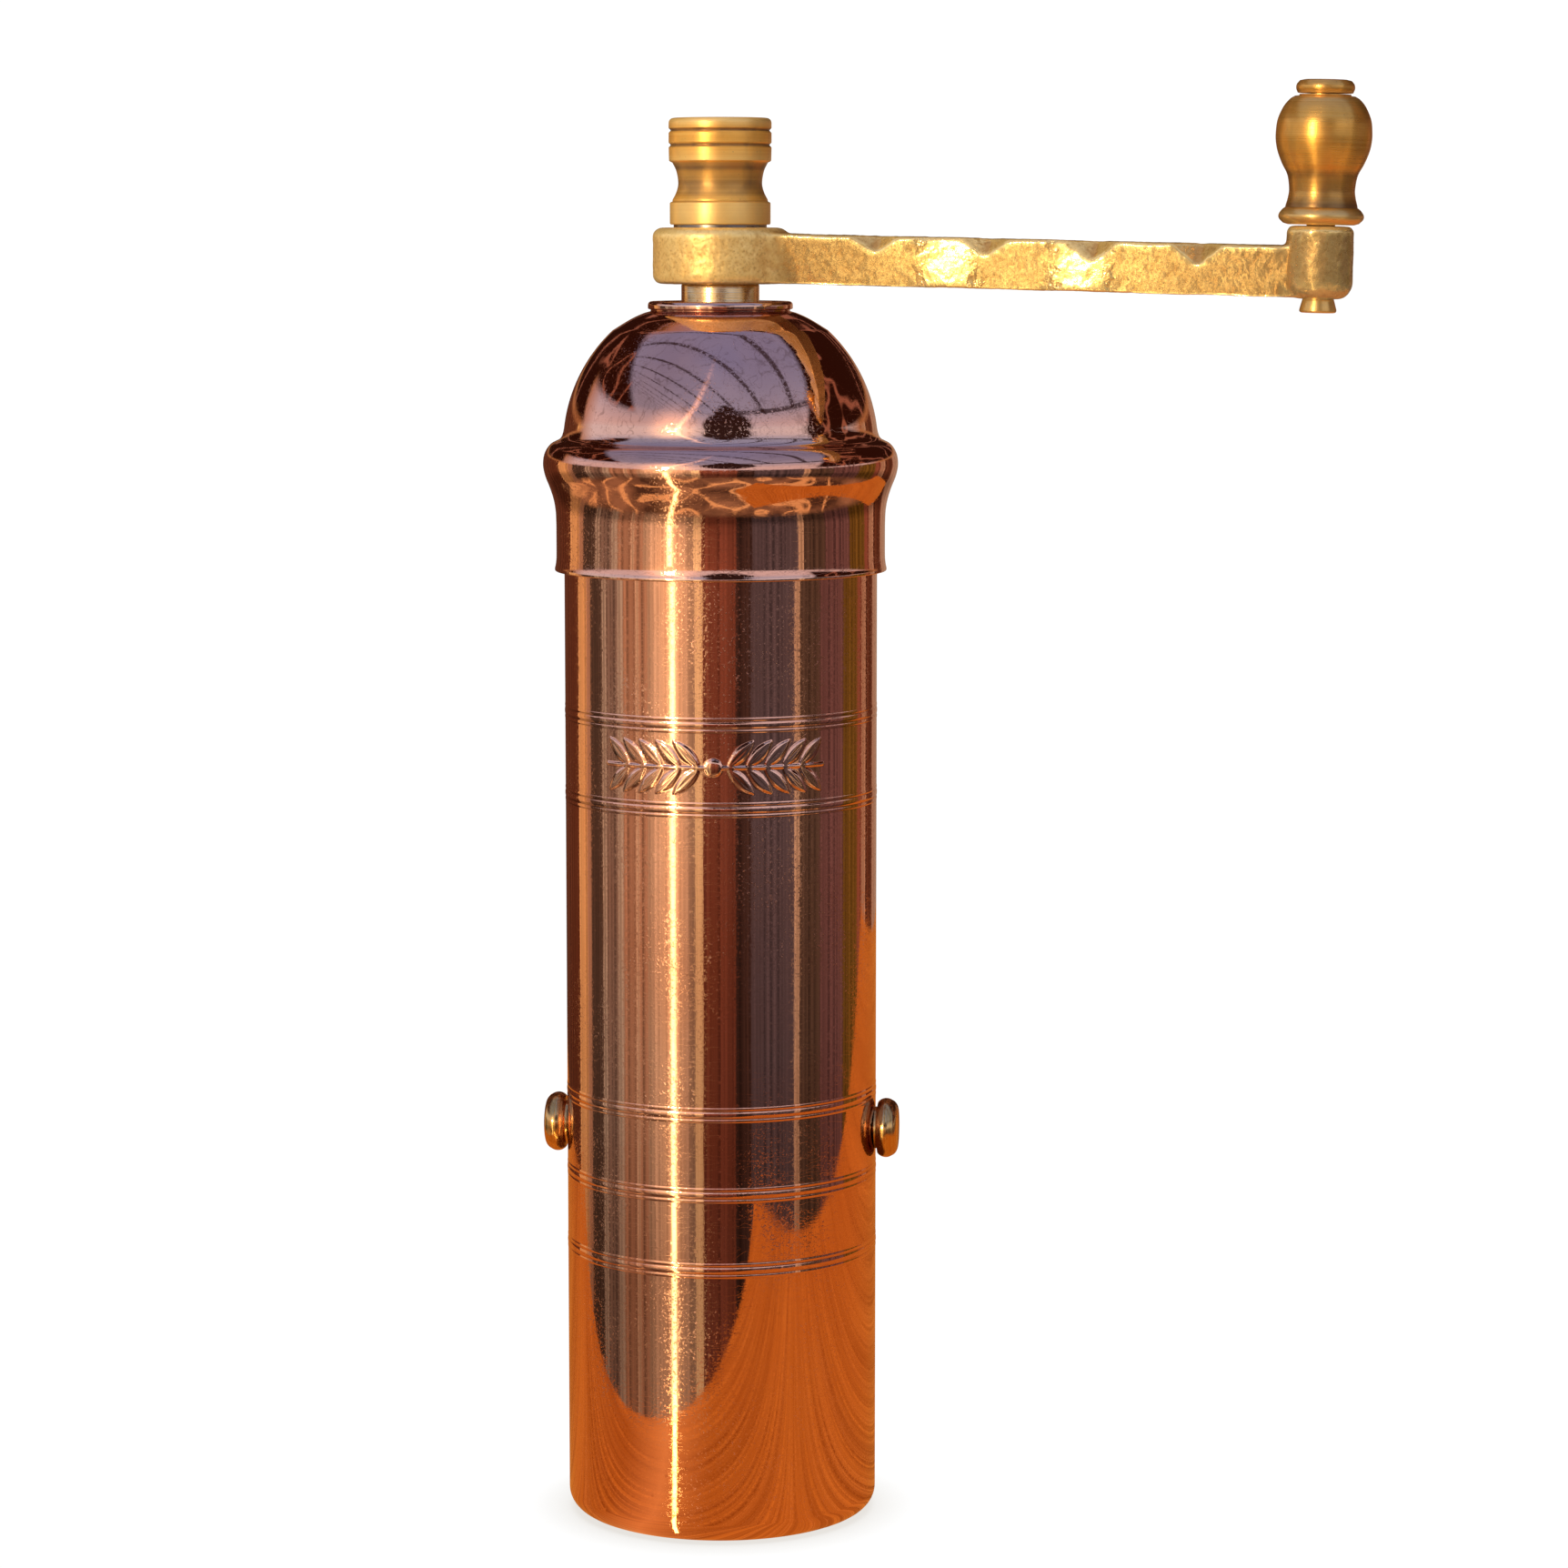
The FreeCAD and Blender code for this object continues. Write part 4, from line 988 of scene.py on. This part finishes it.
class Surroundings(Finish):
    """What shiny metal sees round the mill, as a function of the way that a ray goes."""

    def __init__(self, world):
        world.use_nodes = True
        self.tree = world.node_tree
        self.tree.nodes.clear()
        way = self.add("TexCoord").outputs["Generated"]
        turned_way = self.add("Mapping", {"Vector": way, "Rotation": (0, 0, -CAMERA_AZIMUTH)})
        self.way = turned_way.outputs[0]
        parts = self.add("SeparateXYZ", {0: self.way}).outputs
        self.right, self.front, self.up = parts[0], self.times(parts[1], -1.0), parts[2]
        self.azimuth = self.math("ARCTAN2", self.right, self.front)

    def rise(self, low, high, to_low=0.0, to_high=1.0):
        """The ray's upward part, with low to high spread over to_low to to_high."""
        return self.span(self.up, low, high, to_low, to_high)

    def toward(self, right, front, up):
        """How far a ray goes in one direction."""
        return self.weighed(self.times(self.up, up), (self.right, right), (self.front, front))

    def beyond(self, right, front, up, soft=0.06):
        """1 on the far side of a plane through the mill, 0 on the near side."""
        return self.span(self.toward(right, front, up), soft / 2, -soft / 2)

    def lines(self, scale, width, warp):
        """Wandering dark lines, like bare branches."""
        inputs = {"Vector": self.way, "Scale": scale, "Detail": 1.0, "Distortion": warp}
        field = self.add("TexNoise", inputs).outputs[0]
        return self.span(self.distance(field, 0.5), width, 0.4 * width)

    def plus(self, share, a, b):
        """Colour a with a share of colour b added."""
        glow = self.mix(share, (0.0, 0.0, 0.0), b)
        inputs = {0: 1.0, 6: a, 7: glow}
        return self.add("Mix", inputs, data_type="RGBA", blend_type="ADD").outputs[2]

    def stripes(self):
        """The tones that stand upright round the mill, with finer ones inside them."""
        ramp = self.add("ValToRGB", {0: self.span(self.azimuth, -math.pi, math.pi)})
        ramp.color_ramp.interpolation = "CONSTANT"
        stops = ramp.color_ramp.elements
        while len(stops) < len(SURROUNDINGS):
            stops.new(0.5)
        for stop, (degrees, tone) in zip(stops, SURROUNDINGS):
            stop.position = (degrees + 180) / 360
            stop.color = TONES[tone] + (1,)
        fine = self.add("TexNoise", {"W": self.azimuth, "Scale": 22.0, "Detail": 4.0}, noise_dimensions="1D")
        fine = self.span(fine.outputs[0], 0.35, 0.65, 0.55, 1.35)
        low = self.rise(-0.23, -0.14, 0.5, 1.0)
        ahead = self.times(self.span(self.azimuth, radians(-26), radians(-20)),
                           self.span(self.azimuth, radians(20), radians(12)))
        lower = self.rise(-0.21, -0.02, 0.4, 1.0)
        dim = self.sum(low, self.times(ahead, self.math("SUBTRACT", lower, low)))
        inputs = {0: 1.0, 6: ramp.outputs[0], 7: self.times(fine, dim)}
        return self.add("Mix", inputs, data_type="RGBA", blend_type="MULTIPLY").outputs[2]

    def ground(self):
        """Mottled brown below, with warm streaks of light."""
        ground = self.mix(self.noise_of(2.5, 0.40, 0.62), GROUND_DARK, GROUND_LIGHT)
        return self.layers(ground, (self.lines(2.2, 0.040, 0.5), 0.7, GROUND_STREAK))

    def sky(self):
        """Pale violet sky between dark masses, with what stands before it."""
        sky = self.mix(self.rise(0.35, 0.95), SKY_LOW, SKY_HIGH)
        sky = self.mix(self.rise(0.45, 0.20), sky, SKY_HORIZON)
        haze, twigs = self.noise_of(2.2, 0.35, 0.75), self.lines(5.0, 0.022, 0.6)
        sky = self.roof(self.layers(sky, (haze, 0.25, SKY_HAZE), (twigs, 0.35, TWIG)))
        lower, upper = self.blob(0.10, 0.33, 0.30, 0.15), self.blob(0.07, 0.14, 0.44, 0.09)
        behind = self.span(self.front, -0.30, -0.60)
        mass = self.mix(self.lines(2.6, 0.035, 0.4), MASS_LINE, MASS)
        left = self.times(self.beyond(0.47, 0.544, 0.621), self.rise(0.34, 0.40))
        right = self.times(self.beyond(-0.427, 0.785, 0.45), self.rise(0.10, 0.14))
        for share, tone in ((lower, SILHOUETTE), (upper, SILHOUETTE), (behind, SKY_BEHIND),
                            (left, mass), (right, mass)):
            sky = self.mix(share, sky, tone)
        return sky

    def roof(self, sky):
        """The sky seen through the bars and the rail of a glass roof."""
        along_roof = self.toward(-0.54, 0.83, 0.12)
        above_roof = self.math("MAXIMUM", self.toward(0.456, 0.171, 0.87), 0.05)
        bars = self.times(self.math("DIVIDE", along_roof, above_roof), math.pi / ROOF_BAR_SPACING)
        bars = self.span(self.math("ABSOLUTE", self.math("SINE", bars)), 0.24, 0.14)
        bars = self.times(bars, self.rise(0.40, 0.44))
        rail = self.span(self.distance(self.up, 0.44), 0.030, 0.018)
        rail = self.times(rail, self.span(self.azimuth, 0.1, 0.2))
        return self.layers(sky, (bars, 0.85, SILHOUETTE), (rail, 0.85, SILHOUETTE))

    def blob(self, azimuth, wide, up, high):
        """1 inside a soft-edged oval at an azimuth in radians and a height."""
        across = self.math("POWER", self.times(self.sum(self.azimuth, -azimuth), 1 / wide), 2.0)
        upwards = self.math("POWER", self.times(self.sum(self.up, -up), 1 / high), 2.0)
        return self.span(self.sum(across, upwards), 1.1, 0.8)

    def noise_of(self, scale, low, high):
        """Soft patches from 0 to 1 over all directions."""
        field = self.add("TexNoise", {"Vector": self.way, "Scale": scale, "Detail": 4.0}).outputs[0]
        return self.span(field, low, high)

    def sun(self, seen):
        """The glare above and below the low sun, and the warm air round it."""
        azimuth = radians(SUN_AZIMUTH)
        near = self.add("VectorMath", {0: self.way, 1: sun_way()}, operation="DOT_PRODUCT").outputs["Value"]
        halo = self.math("POWER", self.span(near, math.cos(radians(30)), 1.0), 4.0)
        lean = self.sum(self.rise(0.16, 0.5, azimuth, radians(-20)),
                        self.rise(0.5, 0.95, 0.0, radians(12)))
        off = self.distance(self.azimuth, lean)
        below = self.span(off, radians(2.4), radians(0.8))
        below = self.times(below, self.rise(-0.03, -0.05))
        around = self.math("POWER", self.span(off, radians(24), 0.0), 3.0)
        around = self.times(around, self.rise(0.10, 0.0))
        above = self.times(self.span(off, radians(3.4), 0.0), self.rise(0.95, 0.20))
        above = self.times(above, self.rise(0.15, 0.17))
        glows = ((around, GLARE_AROUND), (halo, HALO), (above, GLARE_ABOVE), (below, GLARE_BELOW))
        for share, glow in glows:
            seen = self.plus(share, seen, glow)
        return seen


def sun_way():
    """Direction of the sun in the surroundings' own axes: right, back, up."""
    (right, front), level = toward(SUN_AZIMUTH), math.cos(radians(SUN_HEIGHT))
    return right * level, -front * level, math.sin(radians(SUN_HEIGHT))


def add_world():
    """White studio for the eye, with warm surroundings for shiny metal."""
    world = bpy.data.worlds.new("studio")
    bpy.context.scene.world = world
    s = Surroundings(world)
    world.cycles.sampling_method = "NONE"
    seen = s.mix(s.span(s.up, -0.31, -0.40), s.stripes(), s.ground())
    seen = s.mix(s.span(s.up, 0.07, 0.10), seen, s.sky())
    seen = s.sun(seen)
    ray = s.add("LightPath").outputs
    seen = s.mix(ray["Is Glossy Ray"], BACKDROP_GLOW, seen)
    seen = s.mix(ray["Is Camera Ray"], seen, BACKDROP)
    background = s.add("Background", {"Color": seen, "Strength": 1.0})
    output = s.add("OutputWorld")
    s.tree.links.new(background.outputs[0], output.inputs[0])


def add_sun(name, height, angle, strength, color, unseen_by):
    """A distant light at the sun's azimuth, left out of one kind of ray."""
    lamp = bpy.data.lights.new(name, "SUN")
    lamp.energy = strength
    lamp.angle = radians(angle)
    lamp.color = color
    light = show(name, lamp)
    right, front = toward(SUN_AZIMUTH)
    way = (TO_CAMERA * front + TO_RIGHT * right) * math.cos(radians(height))
    way.z = math.sin(radians(height))
    light.rotation_euler = way.to_track_quat("Z", "Y").to_euler()
    setattr(light, "visible_" + unseen_by, False)
    return lamp


add_camera()
build_outside()
refinish_inside()
add_floor()
add_board()
add_glint()
add_world()
add_sun("sun", **SUN_LAMP, unseen_by="diffuse")
fill = add_sun("fill", **FILL_LAMP, unseen_by="glossy")
fill.use_shadow = False
bpy.context.scene.view_settings.view_transform = "Standard"
